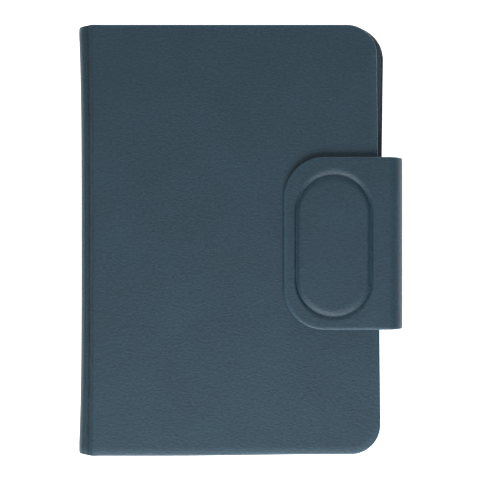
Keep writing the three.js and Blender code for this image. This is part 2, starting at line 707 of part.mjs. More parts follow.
function claspPad() {
  const box = { left: CLASP_LEFT_X, right: highCentreX, low: claspStart, high: claspEnd };
  const shape = (inset) => outline(box, CLASP_CORNER, 0, inset);
  const skinBottom = PAD_BOTTOM + LINING + GAP;
  const roof = CASE_HEIGHT - SKIN;
  const ringTop = CASE_HEIGHT + THROUGH;
  const ringInside = plate(stadium(RING.groove / 2), 0, ringTop + THROUGH);
  const groove = plate(stadium(-RING.groove / 2), CASE_HEIGHT - RING.depth, ringTop).subtract(ringInside);
  const bend = bendSection(
    highCentreX,
    highCentreZ,
    CLASP_HIGH_RADIUS,
    CLASP_HIGH_RADIUS - CLASP_THICKNESS,
    0.25 * HALF_TURN + CUT,
    0.5 * HALF_TURN + BEND_JOIN,
  );
  const skin = plate(shape(0), skinBottom, CASE_HEIGHT)
    .subtract(plate(shape(RIM), 0, roof))
    .add(section(bend, claspStart, claspEnd))
    .subtract(groove);
  addPart("clasp_pad_skin", skin, leather);
  addPart("clasp_pad_lining", plate(shape(2 * GAP), PAD_BOTTOM, skinBottom - GAP), microfibre);
  let core = plate(shape(RIM + GAP), skinBottom, roof - GAP);
  for (const [name, side] of [["clasp_magnet_upper", 1], ["clasp_magnet_lower", -1]]) {
    const x = CLASP_MAGNET.x;
    const y = CLASP_Y + side * CLASP_MAGNET.offset;
    const half = { x: CLASP_MAGNET.width / 2, y: CLASP_MAGNET.length / 2 };
    const pocket = { x: half.x + GAP, y: half.y + GAP };
    core = core.subtract(block(x - pocket.x, x + pocket.x, y - pocket.y, y + pocket.y, 0, roof + THROUGH));
    const floor = skinBottom + GAP;
    addPart(name, block(x - half.x, x + half.x, y - half.y, y + half.y, floor, roof - 2 * GAP), magnet);
  }
  addPart("clasp_pad_core", core, greyBoard);
}

const layout = keyLayout();
backPanel();
kickstand();
tray();
spineAnchor();
spine();
frontPanel();
keyboardCase(layout);
keyboardInside();
keys(layout);
claspAnchor();
claspWall();
claspPad();

export default root;
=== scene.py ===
"""Looks of a tablet keyboard case, lying closed on its back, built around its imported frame.

Laid out as a Blender add-on and run as a script. Lengths in this file are in millimetres, in the
frame's axes (+X from the spine to the clasp, +Y along the spine, +Z up), and become metres where a
mesh is made.
"""

import json
import math
from collections import namedtuple
from itertools import groupby

import bmesh
import bpy
from bpy.props import FloatProperty, FloatVectorProperty, PointerProperty
from mathutils import Matrix, Vector

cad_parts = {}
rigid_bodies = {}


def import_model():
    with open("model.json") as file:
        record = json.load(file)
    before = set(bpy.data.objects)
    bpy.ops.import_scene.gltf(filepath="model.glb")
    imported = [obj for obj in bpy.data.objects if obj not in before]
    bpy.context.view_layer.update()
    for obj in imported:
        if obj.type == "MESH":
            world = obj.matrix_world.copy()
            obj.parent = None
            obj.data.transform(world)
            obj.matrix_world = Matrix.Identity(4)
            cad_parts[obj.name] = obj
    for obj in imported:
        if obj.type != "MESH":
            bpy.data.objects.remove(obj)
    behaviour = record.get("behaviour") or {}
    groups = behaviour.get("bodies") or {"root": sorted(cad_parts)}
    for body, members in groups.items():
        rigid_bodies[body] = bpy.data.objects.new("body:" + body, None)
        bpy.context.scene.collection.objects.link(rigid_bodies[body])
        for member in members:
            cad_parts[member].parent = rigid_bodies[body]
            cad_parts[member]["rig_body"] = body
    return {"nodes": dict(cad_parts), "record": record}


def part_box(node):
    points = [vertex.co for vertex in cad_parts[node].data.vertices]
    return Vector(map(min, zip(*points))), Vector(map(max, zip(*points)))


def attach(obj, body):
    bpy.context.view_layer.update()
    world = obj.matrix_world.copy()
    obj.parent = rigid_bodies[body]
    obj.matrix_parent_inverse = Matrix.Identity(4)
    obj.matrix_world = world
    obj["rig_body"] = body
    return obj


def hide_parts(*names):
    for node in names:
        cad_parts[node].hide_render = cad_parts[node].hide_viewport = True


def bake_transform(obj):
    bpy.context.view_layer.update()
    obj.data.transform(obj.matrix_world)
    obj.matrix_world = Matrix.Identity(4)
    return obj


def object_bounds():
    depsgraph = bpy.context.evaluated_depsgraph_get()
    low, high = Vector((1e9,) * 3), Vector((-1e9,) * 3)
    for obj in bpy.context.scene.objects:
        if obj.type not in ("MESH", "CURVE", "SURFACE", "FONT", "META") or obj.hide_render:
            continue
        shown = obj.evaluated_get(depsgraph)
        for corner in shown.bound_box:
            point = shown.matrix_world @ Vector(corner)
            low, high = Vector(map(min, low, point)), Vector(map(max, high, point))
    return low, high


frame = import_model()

bl_info = {
    "name": "Tablet Keyboard Case",
    "version": (1, 0, 0),
    "blender": (4, 5, 0),
    "location": "3D View > Sidebar > Case",
    "description": "Builds the leather, linings, tray, keyboard and stage of a keyboard case",
    "category": "Object",
}

MM = 0.001
QUARTER = math.pi / 2
CAD_BOX = [[float(v) for v in corner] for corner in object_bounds()]
FINISHES = {}  # every material, by the record's slot name


def node_box(node):
    """A CAD node's lowest and highest corners, in millimetres."""
    low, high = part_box(node)
    return Vector(low) / MM, Vector(high) / MM


# ---- Where the frame puts things ----
PANEL_HIGH = node_box("front_panel_skin")[1]
BACK_HIGH = node_box("back_panel_skin")[1]
PAD_LOW, PAD_HIGH = node_box("clasp_pad_skin")
BEZEL_LOW, BEZEL_HIGH = node_box("camera_bezel")
SPINE_X = node_box("spine_skin")[0].x
FLAP_X = node_box("kickstand_skin")[0].x  # the kickstand's free edge
STRIP_X = node_box("spine_anchor_strip")[1].x
ANCHOR_X = node_box("clasp_anchor")[0].x
WALL_X = CAD_BOX[1][0] / MM  # outside of the clasp's wall
CLASP_TOP = CAD_BOX[1][2] / MM
HALF_LENGTH = PANEL_HIGH.y
TOP = PANEL_HIGH.z

# ---- Shapes of the covers ----
BEND = 7.0  # radius of the leather's outside at the spine's two soft bends
BEND_REACH = 10.0  # how far in from the spine's outside each bend begins
BEND_X = SPINE_X + BEND_REACH
BEND_STEP = 0.065  # radians from one station to the next
FORE_CORNER = 18.3  # radius of the front panel's two corners at the fore-edge
BACK_CORNER = 21.0  # and of the back panel's
FLAP_CORNER = 1.5
STRIP_CORNER = 1.0
COVER_STEPS, SMALL_STEPS = 16, 3  # stations round a wide corner and a small one
COVER_ROWS = 56  # faces along the spine's length
FRONT_FALL, BACK_FALL = 5.5, 3.0  # how far in from its edge a cover's face begins to fall
BOARD_START = 2.5  # from the end of the bend to the front board
CREASE_HALF = 2.4  # half the width left between the back's two boards
CREASE_SLOPE = 1.2  # width over which the leather rises to a board
CREASE_REACH = CREASE_HALF + 1.4  # half the width with closer stations
CREASE_BOARD = 4.0  # from the kickstand's crease to the visible boards on both sides of it

# The soft valley between the spine's board and a panel's, by angle round the bend
HINGE_DIP = 1.15
HINGE_AT = 1.07
HINGE_SPREAD = 0.23
HINGE_PAINTED_SHADE = 1.0  # painted shade that darkens the valley's crease, against the paler edges
THINNING = (-1.2, 1.5)  # about the bend's start, the span over which the spine's board ends
THICKENING = (-0.6, 1.6)  # about the bend's end, the span over which the panel's board starts

WAIST_POWER = 3.7  # the spine is drawn in along most of its length, and flares near its ends
WAIST_FADE = (SPINE_X + 1, SPINE_X + 14)  # x over which the waist fades out into the covers
SAG_FADE = (-50, 60)  # x over which the sag fades out
LEAN_START = 10  # x from which the fore-edge's lean grows
WALL_LEAN = 0.8  # share of the back panel's lean that the tray's wall follows
TRAY_WALL = 83.0  # x of the tray's fore-edge wall, a little outside its inner face

# ---- Shapes of the clasp ----
CLASP_SHIFT = 0.25  # the -Y end reaches twice this further than the CAD's
CLASP_MIDDLE = (PAD_LOW.y + PAD_HIGH.y) / 2 - CLASP_SHIFT
CLASP_HALF = (PAD_HIGH.y - PAD_LOW.y) / 2 + CLASP_SHIFT
CLASP_NARROW = 0.5  # how much shorter each end is where it goes round the fore-edge
CLASP_CORNER = 25.0
CLASP_LOW_BEND = 8.0
CLASP_HIGH_BEND = 9.0
CLASP_RIM = 0.65  # its edges are tighter than the covers', by this share
CLASP_FALL = 2.6
CLASP_ROWS, PAD_ROWS = 60, 170  # the pad has the pressed ring, so its faces are finer
PAD_STEPS = 60
RING_X, RING_Y = 56.8, -3.8  # middle of the pressed ring
RING_HALF_WIDTH, RING_HALF_LENGTH = 22.9, 43.3  # to the lowest line of its groove
RING_END_DEPTH = 0.6  # share of the groove's depth that is left at the ring's two ends
RING_OUTER_PINCH = 1.5  # how much more the outer wall narrows than the inner one
RING_UPPER_SPREAD = 0.5  # how much wider the outer wall is round the ring's +Y end

# Depths below the case's outside at which the leather ends and its lining begins
LEATHER_BEND = 1.0
SPINE_DEPTH = 2.3  # leather and the spine's board
PANEL_DEPTH = 2.4  # leather and the front board
STRIP_DEPTH = 2.6
FLAP_DEPTH = 2.5
CREASE_DEPTH = 0.8
CLASP_DEPTH = 2.2

LINING = 0.4
LINING_RIM = 0.15
COVER_MARGIN, CLASP_MARGIN = 4.0, 2.5  # how far a lining stops short of the leather's edge

# ---- Edges ----
ROUND_STEPS = 3  # straight pieces in a quarter turn round an edge
RIM_SHARE = 0.48  # most of a sheet's thickness that one rounding may take
SUPPORT = 0.35  # a ring this far inside a rounded edge keeps the flat beside it flat
FALL_SHARES = (1.0, 0.85, 0.7, 0.55, 0.42)  # rings where a face begins to fall to its edge
NO_FALL = (1.0, 0.0)
# How much paler the leather's colour is made, from 0 to 1: rubbed wear, and a painted highlight on
# the edges
FALL_WEAR_AND_HIGHLIGHT = 0.8  # where a face falls to its edge
TOP_WEAR_AND_HIGHLIGHT, TURN_WEAR_AND_HIGHLIGHT = 0.45, 0.55  # at the top of the rounding, and what its turn adds
UNDER_WEAR = 0.3

# Angles in degrees
SAME_PLANE = 1
BEVELLED = 35
SHARP_MOULDED, SHARP_LEATHER, SHARP_KEY = 40, 50, 60


# ---- What a user would change ----
def length(name, description, size):
    return FloatProperty(name=name, description=description, default=size * MM, unit="LENGTH")


class CaseSizes(bpy.types.PropertyGroup):
    rim: length("Edge Rounding", "Radius of the leather where it turns over a board's edge", 1.15)
    waist: length("Spine Waist", "How far the middle of the spine is drawn in from its ends", 1.75)
    pull: length("Spine End Pull", "How much shorter the spine is at each end than the panels", 1.5)
    sag: length(
        "Spine Sag",
        "How much further the covers reach at the spine's -Y end than at the fore-edge",
        1.0,
    )
    front_skew: length(
        "Front Skew", "How far the front panel's fore-edge leans back at its +Y end", 1.3
    )
    back_skew: length(
        "Back Skew", "How far the back panel's fore-edge leans out at its +Y end", 1.8
    )
    fall: length(
        "Edge Fall", "How far a panel's face has sunk where it meets its rounded edge", 0.55
    )
    groove_outside: length(
        "Ring Outer Width", "Width of the outer wall of the groove pressed into the clasp", 3.0
    )
    groove_inside: length(
        "Ring Inner Width", "Width of the inner wall of the groove pressed into the clasp", 5.0
    )
    groove_pinch: FloatProperty(
        name="Ring Side Pinch",
        description="Share by which the groove's walls narrow along the ring's straight sides",
        default=0.36,
        min=0,
        max=0.6,
        subtype="FACTOR",
    )
    groove_depth: length("Ring Depth", "Depth of the groove pressed into the clasp", 1.7)
    crown: length("Plateau Crown", "How far the middle of the clasp's ring stands up", 0.2)
    dish: length("Key Dish", "How far the middle of a key's top is hollowed", 0.14)


def to_linear(hex_code):
    """An sRGB hex value such as 233a47 as a linear colour."""
    parts = [int(hex_code[i : i + 2], 16) / 255 for i in (0, 2, 4)]
    return [p / 12.92 if p <= 0.04045 else ((p + 0.055) / 1.055) ** 2.4 for p in parts]


def colour(name, description, hex_code):
    return FloatVectorProperty(
        name=name,
        description=description,
        default=to_linear(hex_code),
        subtype="COLOR",
        min=0,
        max=1,
    )


class CaseColours(bpy.types.PropertyGroup):
    leather: colour("Leather", "Coated leather of the covers and the clasp", "213b49")
    lining: colour("Lining", "Brushed microfibre inside the covers", "2c353d")
    shell: colour("Shell", "Moulded tray and keyboard body", "31404b")
    keys: colour("Keys", "Moulded key tops and trackpad", "1d2226")
    legend: colour("Legends", "Printed letters on the keys", "c9ced2")


# ---- Mesh code ----
# A station is one place on a profile: its outside, the way out from it, the depths at which a
# piece starts and ends there, half its length along y, a corner if it is in one, and its painted
# shade
Station = namedtuple("Station", "x z nx nz outer inner half corner shade", defaults=[None, 0.0])
Corner = namedtuple("Corner", "edge side radius angle")


def ease(value, low, high):
    """From 0 at low to 1 at high, with no sudden change."""
    t = min(max((value - low) / (high - low), 0.0), 1.0)
    return t * t * (3 - 2 * t)


def mix(a, b, share):
    return a + (b - a) * share


def spaced(start, end, step):
    """Values from start to end, both included, about one step apart."""
    count = max(1, round(abs(end - start) / step))
    return [mix(start, end, i / count) for i in range(count + 1)]


def place(station, inset, depth):
    """A point's x, z and half-length, drawn in from the outline by inset and sunk by depth."""
    x, half = station.x, station.half - inset
    if station.corner:
        edge, side, radius, angle = station.corner
        left = max(radius - inset, 0.02)
        x = edge - side * (inset + left * (1 - math.sin(angle)))
        half = station.half - inset - left * (1 - math.cos(angle))
    return x - station.nx * depth, station.z - station.nz * depth, half


def edge_steps(station, rim, fall):
    """The way round an edge from the outer face to the inner one, as (inset, depth, wear and
    painted highlight).
    """
    reach, drop = fall
    outer, inner = station.outer, station.inner
    radius = min(rim, RIM_SHARE * (inner - outer - drop))
    angles = [QUARTER * i / ROUND_STEPS for i in range(ROUND_STEPS, -1, -1)]
    shares = FALL_SHARES if drop else ()
    steps = [(reach * share, outer, FALL_WEAR_AND_HIGHLIGHT * (1 - share)) for share in shares]
    steps.append((radius + SUPPORT, outer, FALL_WEAR_AND_HIGHLIGHT))
    for angle in angles:
        drawn, sunk = radius * (1 - math.cos(angle)), radius * (1 - math.sin(angle))
        steps.append((drawn, outer + sunk, TOP_WEAR_AND_HIGHLIGHT + TURN_WEAR_AND_HIGHLIGHT * math.cos(angle)))
    steps = [
        (inset, depth + drop * max(1 - inset / reach, 0) ** 2, wear_and_painted_light) for inset, depth, wear_and_painted_light in steps
    ]
    for angle in reversed(angles):
        drawn, sunk = radius * (1 - math.cos(angle)), radius * (1 - math.sin(angle))
        steps.append((drawn, inner - sunk, UNDER_WEAR * math.cos(angle)))
    steps.append((radius + SUPPORT, inner, 0.0))
    return steps


def new_object(name, data):
    made = bpy.data.objects.new(name, data)
    bpy.context.scene.collection.objects.link(made)
    return made


def wrapped(
    name, stations, rim, rows, middle=0.0, margin=0.0, fall=NO_FALL, press=None, warp=None
):
    """A closed piece of sheet or wrapped board along a run of stations, with rounded edges.

    A first or last station with a corner closes the piece with a rounded edge, and one without
    leaves a flat seam. press(x, y) sinks the outer face, and warp(x, y, z) moves any point.
    """
    points, wear_and_painted_light_values, faces = [], [], []

    def put(x, y, z, wear_and_painted_light=0.0):
        points.append((x, y, z))
        wear_and_painted_light_values.append(wear_and_painted_light)
        return len(points) - 1

    around = [edge_steps(s, rim, fall) for s in stations]
    count = len(around[0])
    low, high = [], []
    for k in range(count):
        low.append([])
        high.append([])
        for station, steps in zip(stations, around):
            inset, depth, wear_and_painted_light = steps[k]
            x, z, half = place(station, inset + margin, depth)
            # A station's painted shade is taken off the edge's paling here.
            low[k].append(put(x, middle - half, z, wear_and_painted_light - station.shade))
            high[k].append(put(x, middle + half, z, wear_and_painted_light - station.shade))

    def column(i, k):
        start, end = Vector(points[low[k][i]]), Vector(points[high[k][i]])
        wear_and_painted_light = wear_and_painted_light_values[low[k][i]]
        inside = [put(*start.lerp(end, j / rows), wear_and_painted_light) for j in range(1, rows)]
        return [low[k][i], *inside, high[k][i]]

    last = len(stations) - 1
    edge_ends = [i for i in (0, last) if stations[i].corner]
    columns = {(i, k): column(i, k) for i in range(last + 1) for k in (0, count - 1)}
    columns.update({(i, k): column(i, k) for i in edge_ends for k in range(1, count - 1)})

    def strip(a, b):
        faces.extend((a[j], a[j + 1], b[j + 1], b[j]) for j in range(len(a) - 1))

    for k in range(count - 1):
        strip(low[k], low[k + 1])
        strip(high[k], high[k + 1])
        for i in edge_ends:
            strip(columns[i, k], columns[i, k + 1])
    for i in range(last):
        strip(columns[i, 0], columns[i + 1, 0])
        strip(columns[i, count - 1], columns[i + 1, count - 1])
    for i in {0, last} - set(edge_ends):
        strip(columns[i, 0], columns[i, count - 1])
        faces.append([low[k][i] for k in range(count)])
        faces.append([high[k][i] for k in range(count)])
    if press:
        for i in range(last + 1):
            for index in columns[i, 0]:
                x, y, z = points[index]
                points[index] = (x, y, z - press(x, y))
    if warp:
        points = [warp(*p) for p in points]
    mesh = bpy.data.meshes.new(name)
    mesh.from_pydata([Vector(p) * MM for p in points], [], faces)
    # Paling is rubbed wear and a painted highlight on the edges; below zero it is painted shade in
    # the spine's crease.
    mesh.attributes.new("wear_and_painted_light", "FLOAT", "POINT").data.foreach_set("value", wear_and_painted_light_values)
    face_out(mesh, SHARP_LEATHER)
    return new_object(name, mesh)


def smooth(mesh, sharp):
    """Smooth, with edges sharper than an angle left sharp."""
    mesh.shade_smooth()
    mesh.set_sharp_from_angle(angle=math.radians(sharp))


def face_out(mesh, sharp):
    """Faces outwards, and smooth."""
    edit = bmesh.new()
    edit.from_mesh(mesh)
    bmesh.ops.recalc_face_normals(edit, faces=edit.faces)
    edit.to_mesh(mesh)
    edit.free()
    smooth(mesh, sharp)


def spine_run(deep, flat_deep):
    """Stations from the middle of the spine round its upper bend to the flat of the panel."""
    pull = bpy.context.scene.case_sizes.pull / MM
    centre = TOP - BEND
    middle = TOP / 2
    straight = centre - middle
    turned = straight + BEND * QUARTER
    # Each row is x, z, the way out, the way so far along the profile, and the valley's share
    run = [(SPINE_X, z, -1.0, 0.0, z - middle, 0.0) for z in spaced(middle, centre, 1.0)[:-1]]
    for angle in spaced(math.pi, QUARTER, BEND_STEP):
        x, z = BEND_REACH * math.cos(angle), BEND * math.sin(angle)
        nx, nz = x / BEND_REACH**2, z / BEND**2
        size = math.hypot(nx, nz)
        nx, nz = nx / size, nz / size
        valley = math.exp(-(((math.pi - angle - HINGE_AT) / HINGE_SPREAD) ** 2))
        dip = HINGE_DIP * valley
        along = straight + BEND * (math.pi - angle)
        run.append((BEND_X + x - nx * dip, centre + z - nz * dip, nx, nz, along, valley))
    out = []
    for x, z, nx, nz, along, valley in run:
        inner = mix(deep, LEATHER_BEND, ease(along, *[straight + t for t in THINNING]))
        inner = mix(inner, flat_deep, ease(along, *[turned + t for t in THICKENING]))
        half = HALF_LENGTH - pull * (1 - ease(along, straight + 1, turned))
        # The valley is darkened by painted shade in the leather's colour.
        out.append(Station(x, z, nx, nz, 0.0, inner, half, shade=HINGE_PAINTED_SHADE * valley))
    return out


def flipped(stations):
    """The same run on the back, mirrored about the middle of the case's thickness."""
    return [s._replace(z=TOP - s.z, nz=-s.nz) for s in stations]


def flat_run(start, end, step, z, nz, inner, half):
    return [Station(x, z, 0.0, nz, 0.0, inner, half) for x in spaced(start, end, step)]


def corner_run(edge, side, radius, steps, z, nz, inner, half):
    """Stations round the two corners at one end of a piece."""
    corners = [Corner(edge, side, radius, QUARTER * i / steps) for i in range(1, steps + 1)]
    return [Station(0.0, z, 0.0, nz, 0.0, inner, half, corner) for corner in corners]


def lined(stations):
    """The lining's run: the sheet that lies against the inner face of the same leather."""
    return [s._replace(outer=s.inner, inner=s.inner + LINING) for s in stations]


def case_warp(skew):
    """The ways in which a used case isn't square: a drawn-in spine and a leaning fore-edge."""
    sizes = bpy.context.scene.case_sizes
    waist, sag = sizes.waist / MM, sizes.sag / MM / HALF_LENGTH

    def warp(x, y, z):
        along = y / HALF_LENGTH
        drawn = waist * (1 - min(abs(along), 1) ** WAIST_POWER)
        moved = x + drawn * (1 - ease(x, *WAIST_FADE))
        moved += skew * along * ease(x, LEAN_START, BACK_HIGH.x - BACK_CORNER)
        if y < 0:
            y *= 1 + sag * (1 - ease(x, *SAG_FADE))
        return moved, y, z

    return warp


def plain_mesh(obj):
    """Turns a piece with modifiers into a plain mesh."""
    graph = bpy.context.evaluated_depsgraph_get()
    made = bpy.data.meshes.new_from_object(obj.evaluated_get(graph))
    obj.modifiers.clear()
    obj.data = made
    return obj


def moulded_copy(name, node, radius, slot, segments=2):
    """A copy of a hard CAD node, its mesh merged and its edges rounded, as a mould leaves them."""
    mesh = frame["nodes"][node].data.copy()
    edit = bmesh.new()
    edit.from_mesh(mesh)
    bmesh.ops.remove_doubles(edit, verts=edit.verts, dist=0.002 * MM)
    bmesh.ops.dissolve_limit(
        edit,
        angle_limit=math.radians(SAME_PLANE),
        verts=edit.verts,
        edges=edit.edges,
        delimit={"NORMAL"},
    )
    edit.to_mesh(mesh)
    edit.free()
    mesh.materials.clear()
    made = new_object(name, mesh)
    bevel = made.modifiers.new("Edges", "BEVEL")
    bevel.width = radius * MM
    bevel.segments = segments
    bevel.limit_method = "ANGLE"
    bevel.angle_limit = math.radians(BEVELLED)
    bevel.use_clamp_overlap = True
    plain_mesh(made)
    smooth(made.data, SHARP_MOULDED)
    made.data.materials.append(FINISHES[slot])
    return made


def finish_piece(piece, slot, *nodes, finish=None):
    """Gives a new piece the finish of its slot, or the one named, if it has none yet, and hides its
    CAD nodes.
    """
    if not piece.data.materials:
        piece.data.materials.append(FINISHES[finish or slot])
    if nodes:
        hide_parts(*nodes)


def blend_across(pieces, before, after, start, end):
    """Bakes each piece's transform into its mesh; the bodies before and after, and start and end,
    each as (x, z), are not used.
    """
    for piece in pieces:
        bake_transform(piece)


def warped_board(node, skew, start, end):
    """A cover's own board, from start to end along x, drawn and leaning as the leather round it."""
    board = moulded_copy(node + "_shaped", node, 0.2, "grey_board", 1)
    warp = case_warp(skew)
    for vertex in board.data.vertices:
        x, y, z = vertex.co / MM
        vertex.co = Vector(warp(min(max(x, start), end), y, z)) * MM
    finish_piece(board, "grey_board", node)
    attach(board, frame["nodes"][node]["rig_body"])


# ---- Materials ----
def fill(tree, node, inputs):
    """Puts values or links on a node's inputs. A node is linked by its first live output."""
    for key, value in inputs.items():
        if isinstance(value, bpy.types.Node):
            value = next(output for output in value.outputs if output.enabled)
        if isinstance(value, bpy.types.NodeSocket):
            tree.links.new(value, node.inputs[key])
        else:
            node.inputs[key].default_value = value


def add(tree, kind, inputs=None, stops=(), **settings):
    """Adds a node of the tree's own kind, with its settings, a ramp's stops and its inputs."""
    made = tree.nodes.new(tree.bl_idname.removesuffix("Tree") + kind)
    for key, value in settings.items():
        setattr(made, key, value)
    for i, (position, shade) in enumerate(stops):
        made.color_ramp.elements[i].position = position
        made.color_ramp.elements[i].color = shade
    fill(tree, made, inputs or {})
    return made


def per_metre(size):
    """A texture's scale for a pattern that repeats every size millimetres."""
    return 1 / (size * MM)


def shaded(shade, factor):
    return (*[min(c * factor, 1.0) for c in shade], 1.0)


def started(name):
    """A new material: its node tree, its shader and object coordinates."""
    material = bpy.data.materials.new(name)
    material.use_nodes = True
    tree = material.node_tree
    shader = tree.nodes["Principled BSDF"]
    at = add(tree, "TexCoord").outputs["Object"]
    return material, tree, shader, at


def leather_material(context):
    """Coated leather: split hide under a satin polyurethane film, with an embossed pebble grain.

    The film gives a soft broad sheen over a dark blue-grey body, and the grain breaks it into
    tiny cells.
    """
    shade = context.scene.case_colours.leather
    material, tree, shader, at = started("coated_leather_satin_pebble")
    # Tone drifts over a few centimetres, as a hide's own thickness lets the film sink.
    drift = add(tree, "TexNoise", {"Vector": at, "Scale": per_metre(28), "Detail": 3.0})
    # The grain is drawn out across the case, from the spine to the fore-edge.
    drawn = add(tree, "Mapping", {"Vector": at, "Scale": (0.55, 1.0, 1.0)})
    mottle = add(tree, "TexNoise", {"Vector": drawn, "Scale": per_metre(1.1), "Detail": 2.0})
    tone = add(tree, "Math", {0: drift, 1: 0.35, 2: mottle}, operation="MULTIPLY_ADD")
    body = add(
        tree,
        "ValToRGB",
        {"Fac": tone},
        stops=[(0.42, shaded(shade, 0.78)), (0.93, shaded(shade, 1.24))],
    )
    # The leather is painted paler along its edges, partly rubbed wear and partly a painted
    # highlight, and darker in the spine's crease, a painted shade.
    wear_and_painted_light = add(tree, "Attribute", attribute_name="wear_and_painted_light").outputs["Fac"]
    share = add(tree, "Math", {0: wear_and_painted_light, 1: 0.45}, operation="MULTIPLY")
    rubbed_and_painted_light = add(
        tree,
        "Mix",
        {"Factor": share, "A": body, "B": shaded(shade, 2.0)},
        data_type="RGBA",
        clamp_factor=False,
    )
    # Pebbles are drawn 0.95 mm across, coarser than a real 0.6 mm, so that they show.
    pebble = add(
        tree,
        "TexVoronoi",
        {"Vector": drawn, "Scale": per_metre(0.95), "Randomness": 1.0},
        feature="SMOOTH_F1",
    )
    pore = add(tree, "TexNoise", {"Vector": at, "Scale": per_metre(0.5), "Detail": 3.0})
    crease = add(tree, "TexNoise", {"Vector": at, "Scale": per_metre(4.5), "Detail": 5.0})
    grain = add(tree, "Math", {0: pore, 1: 0.5, 2: pebble}, operation="MULTIPLY_ADD")
    height = add(tree, "Math", {0: crease, 1: 0.8, 2: grain}, operation="MULTIPLY_ADD")
    bump = add(tree, "Bump", {"Height": height, "Strength": 0.85, "Distance": 0.13 * MM})
    rough = add(
        tree,
        "MapRange",
        {"Value": pebble, "From Min": 0.0, "From Max": 0.9, "To Min": 0.58, "To Max": 0.5},
    )
    fill(tree, shader, {"Base Color": rubbed_and_painted_light, "Normal": bump, "Roughness": rough, "IOR": 1.5})
    return material


def microfibre_material(context):
    """Brushed microfibre: a short polyester nap on a knitted back, dull, with paler streaks."""
    shade = context.scene.case_colours.lining
    material, tree, shader, at = started("brushed_microfibre_nap")
    streak = add(tree, "Mapping", {"Vector": at, "Scale": (1.0, 0.25, 1.0)})
    brushed = add(tree, "TexNoise", {"Vector": streak, "Scale": per_metre(6), "Detail": 4.0})
    fibre = add(tree, "TexNoise", {"Vector": at, "Scale": per_metre(0.4), "Detail": 3.0})
    tone = add(tree, "Math", {0: brushed, 1: fibre}, operation="ADD")
    body = add(
        tree,
        "ValToRGB",
        {"Fac": tone},
        stops=[(0.7, shaded(shade, 0.86)), (1.3, shaded(shade, 1.2))],
    )
    bump = add(tree, "Bump", {"Height": fibre, "Strength": 0.5, "Distance": 0.08 * MM})
    fill(tree, shader, {"Base Color": body, "Normal": bump, "Roughness": 0.95})
    fill(tree, shader, {"Sheen Weight": 0.35, "Sheen Roughness": 0.5})
    return material


def grained_material(
    name, shade, grain, depth, roughness, spread=0.12, metallic=0.0, stretch=(1, 1, 1), **fixed
):
    """A hard surface with an even fine grain of one size and one depth."""
    material, tree, shader, at = started(name)
    along = add(tree, "Mapping", {"Vector": at, "Scale": stretch})
    fine = add(tree, "TexNoise", {"Vector": along, "Scale": per_metre(grain), "Detail": 3.0})
    broad = add(tree, "TexNoise", {"Vector": at, "Scale": per_metre(grain * 40), "Detail": 2.0})
    body = add(
        tree,
        "ValToRGB",
        {"Fac": broad},
        stops=[(0.35, shaded(shade, 1 - spread)), (0.65, shaded(shade, 1 + spread))],
    )
    low, high = roughness - 0.05, roughness + 0.05
    rough = add(
        tree,
        "MapRange",
        {"Value": fine, "From Min": 0.3, "From Max": 0.7, "To Min": low, "To Max": high},
    )
    bump = add(tree, "Bump", {"Height": fine, "Strength": 0.4, "Distance": depth * MM})
    fill(tree, shader, {"Base Color": body, "Roughness": rough, "Normal": bump})
    fill(tree, shader, {"Metallic": metallic, **{k.replace("_", " "): fixed[k] for k in fixed}})
    return material


def make_materials(context):
    """Every finish, by the record's slot name, with the key legends' ink beside them."""
    colours = context.scene.case_colours
    hard = grained_material
    along_case = (1.0, 0.04, 1.0)
    return {
        "cover_leather": leather_material(context),
        "microfibre_lining": microfibre_material(context),
        # ABS from a spark-eroded tool: an even matt sparkle, with no gloss to catch a finger mark.
        "shell_plastic": hard(
            "moulded_abs_spark_eroded", colours.shell, 0.25, 0.03, 0.52, 0.05, IOR=1.54
        ),
        # ABS key tops from a lightly blasted tool, and handled: a soft satin with a faint drift.
        "key_plastic": hard("moulded_abs_satin_keys", colours.keys, 0.12, 0.012, 0.4, IOR=1.54),
        # Pad-printed ink on the keys: flat, pale and a little uneven.
        "ink": hard("pad_printed_ink", colours.legend, 0.1, 0.004, 0.6, 0.05),
        # Grey board: pressed recycled pulp, with flecks of fibre and a dull open surface.
        "grey_board": hard("pressed_grey_board", to_linear("8c8578"), 0.8, 0.05, 0.9, 0.18),
        # Nickel-plated sheet steel, brushed along the case before plating.
        "plated_steel": hard(
            "nickel_plated_steel_brushed",
            to_linear("b4b2ab"), 0.12, 0.006, 0.32, 0.05, 1.0, along_case,
        ),
        # Sintered magnet, barrel plated with nickel: bright, with a faint orange peel.
        "magnet_steel": hard(
            "nickel_plated_magnet", to_linear("bcbab4"), 0.5, 0.006, 0.24, 0.04, 1.0
        ),
        # Silicone rubber from a blasted mould: matt, nearly black, slightly dusty.
        "black_rubber": hard(
            "moulded_silicone_rubber", to_linear("1b1d1f"), 0.3, 0.02, 0.82, IOR=1.41
        ),
        # Glass-epoxy laminate under green solder mask, with the weave just showing through.
        "board_laminate": hard(
            "solder_masked_laminate", to_linear("1f4a33"), 0.45, 0.01, 0.38, IOR=1.52
        ),
        # Aluminium-laminate pouch foil: softly creased grey metal film.
        "battery_foil": hard(
            "laminated_pouch_foil", to_linear("9a9ea3"), 1.6, 0.05, 0.36, 0.06, 0.85
        ),
        # Polycarbonate light pipe, moulded with a frosted end.
        "light_lens": hard(
            "frosted_polycarbonate",
            to_linear("e3e7ea"), 0.08, 0.004, 0.3, 0.03, IOR=1.585, Transmission_Weight=0.35,
        ),
    }


class CASE_OT_finishes(bpy.types.Operator):
    """Make every finish and give it to the CAD nodes of its slot"""

    bl_idname = "tablet_case.finishes"
    bl_label = "Finishes"

    def execute(self, context):
        FINISHES.update(make_materials(context))
        for part in frame["record"]["subparts"]:
            mesh = frame["nodes"][part["node"]].data
            mesh.materials.clear()
            mesh.materials.append(FINISHES[part["material_slot"]])
        return {"FINISHED"}


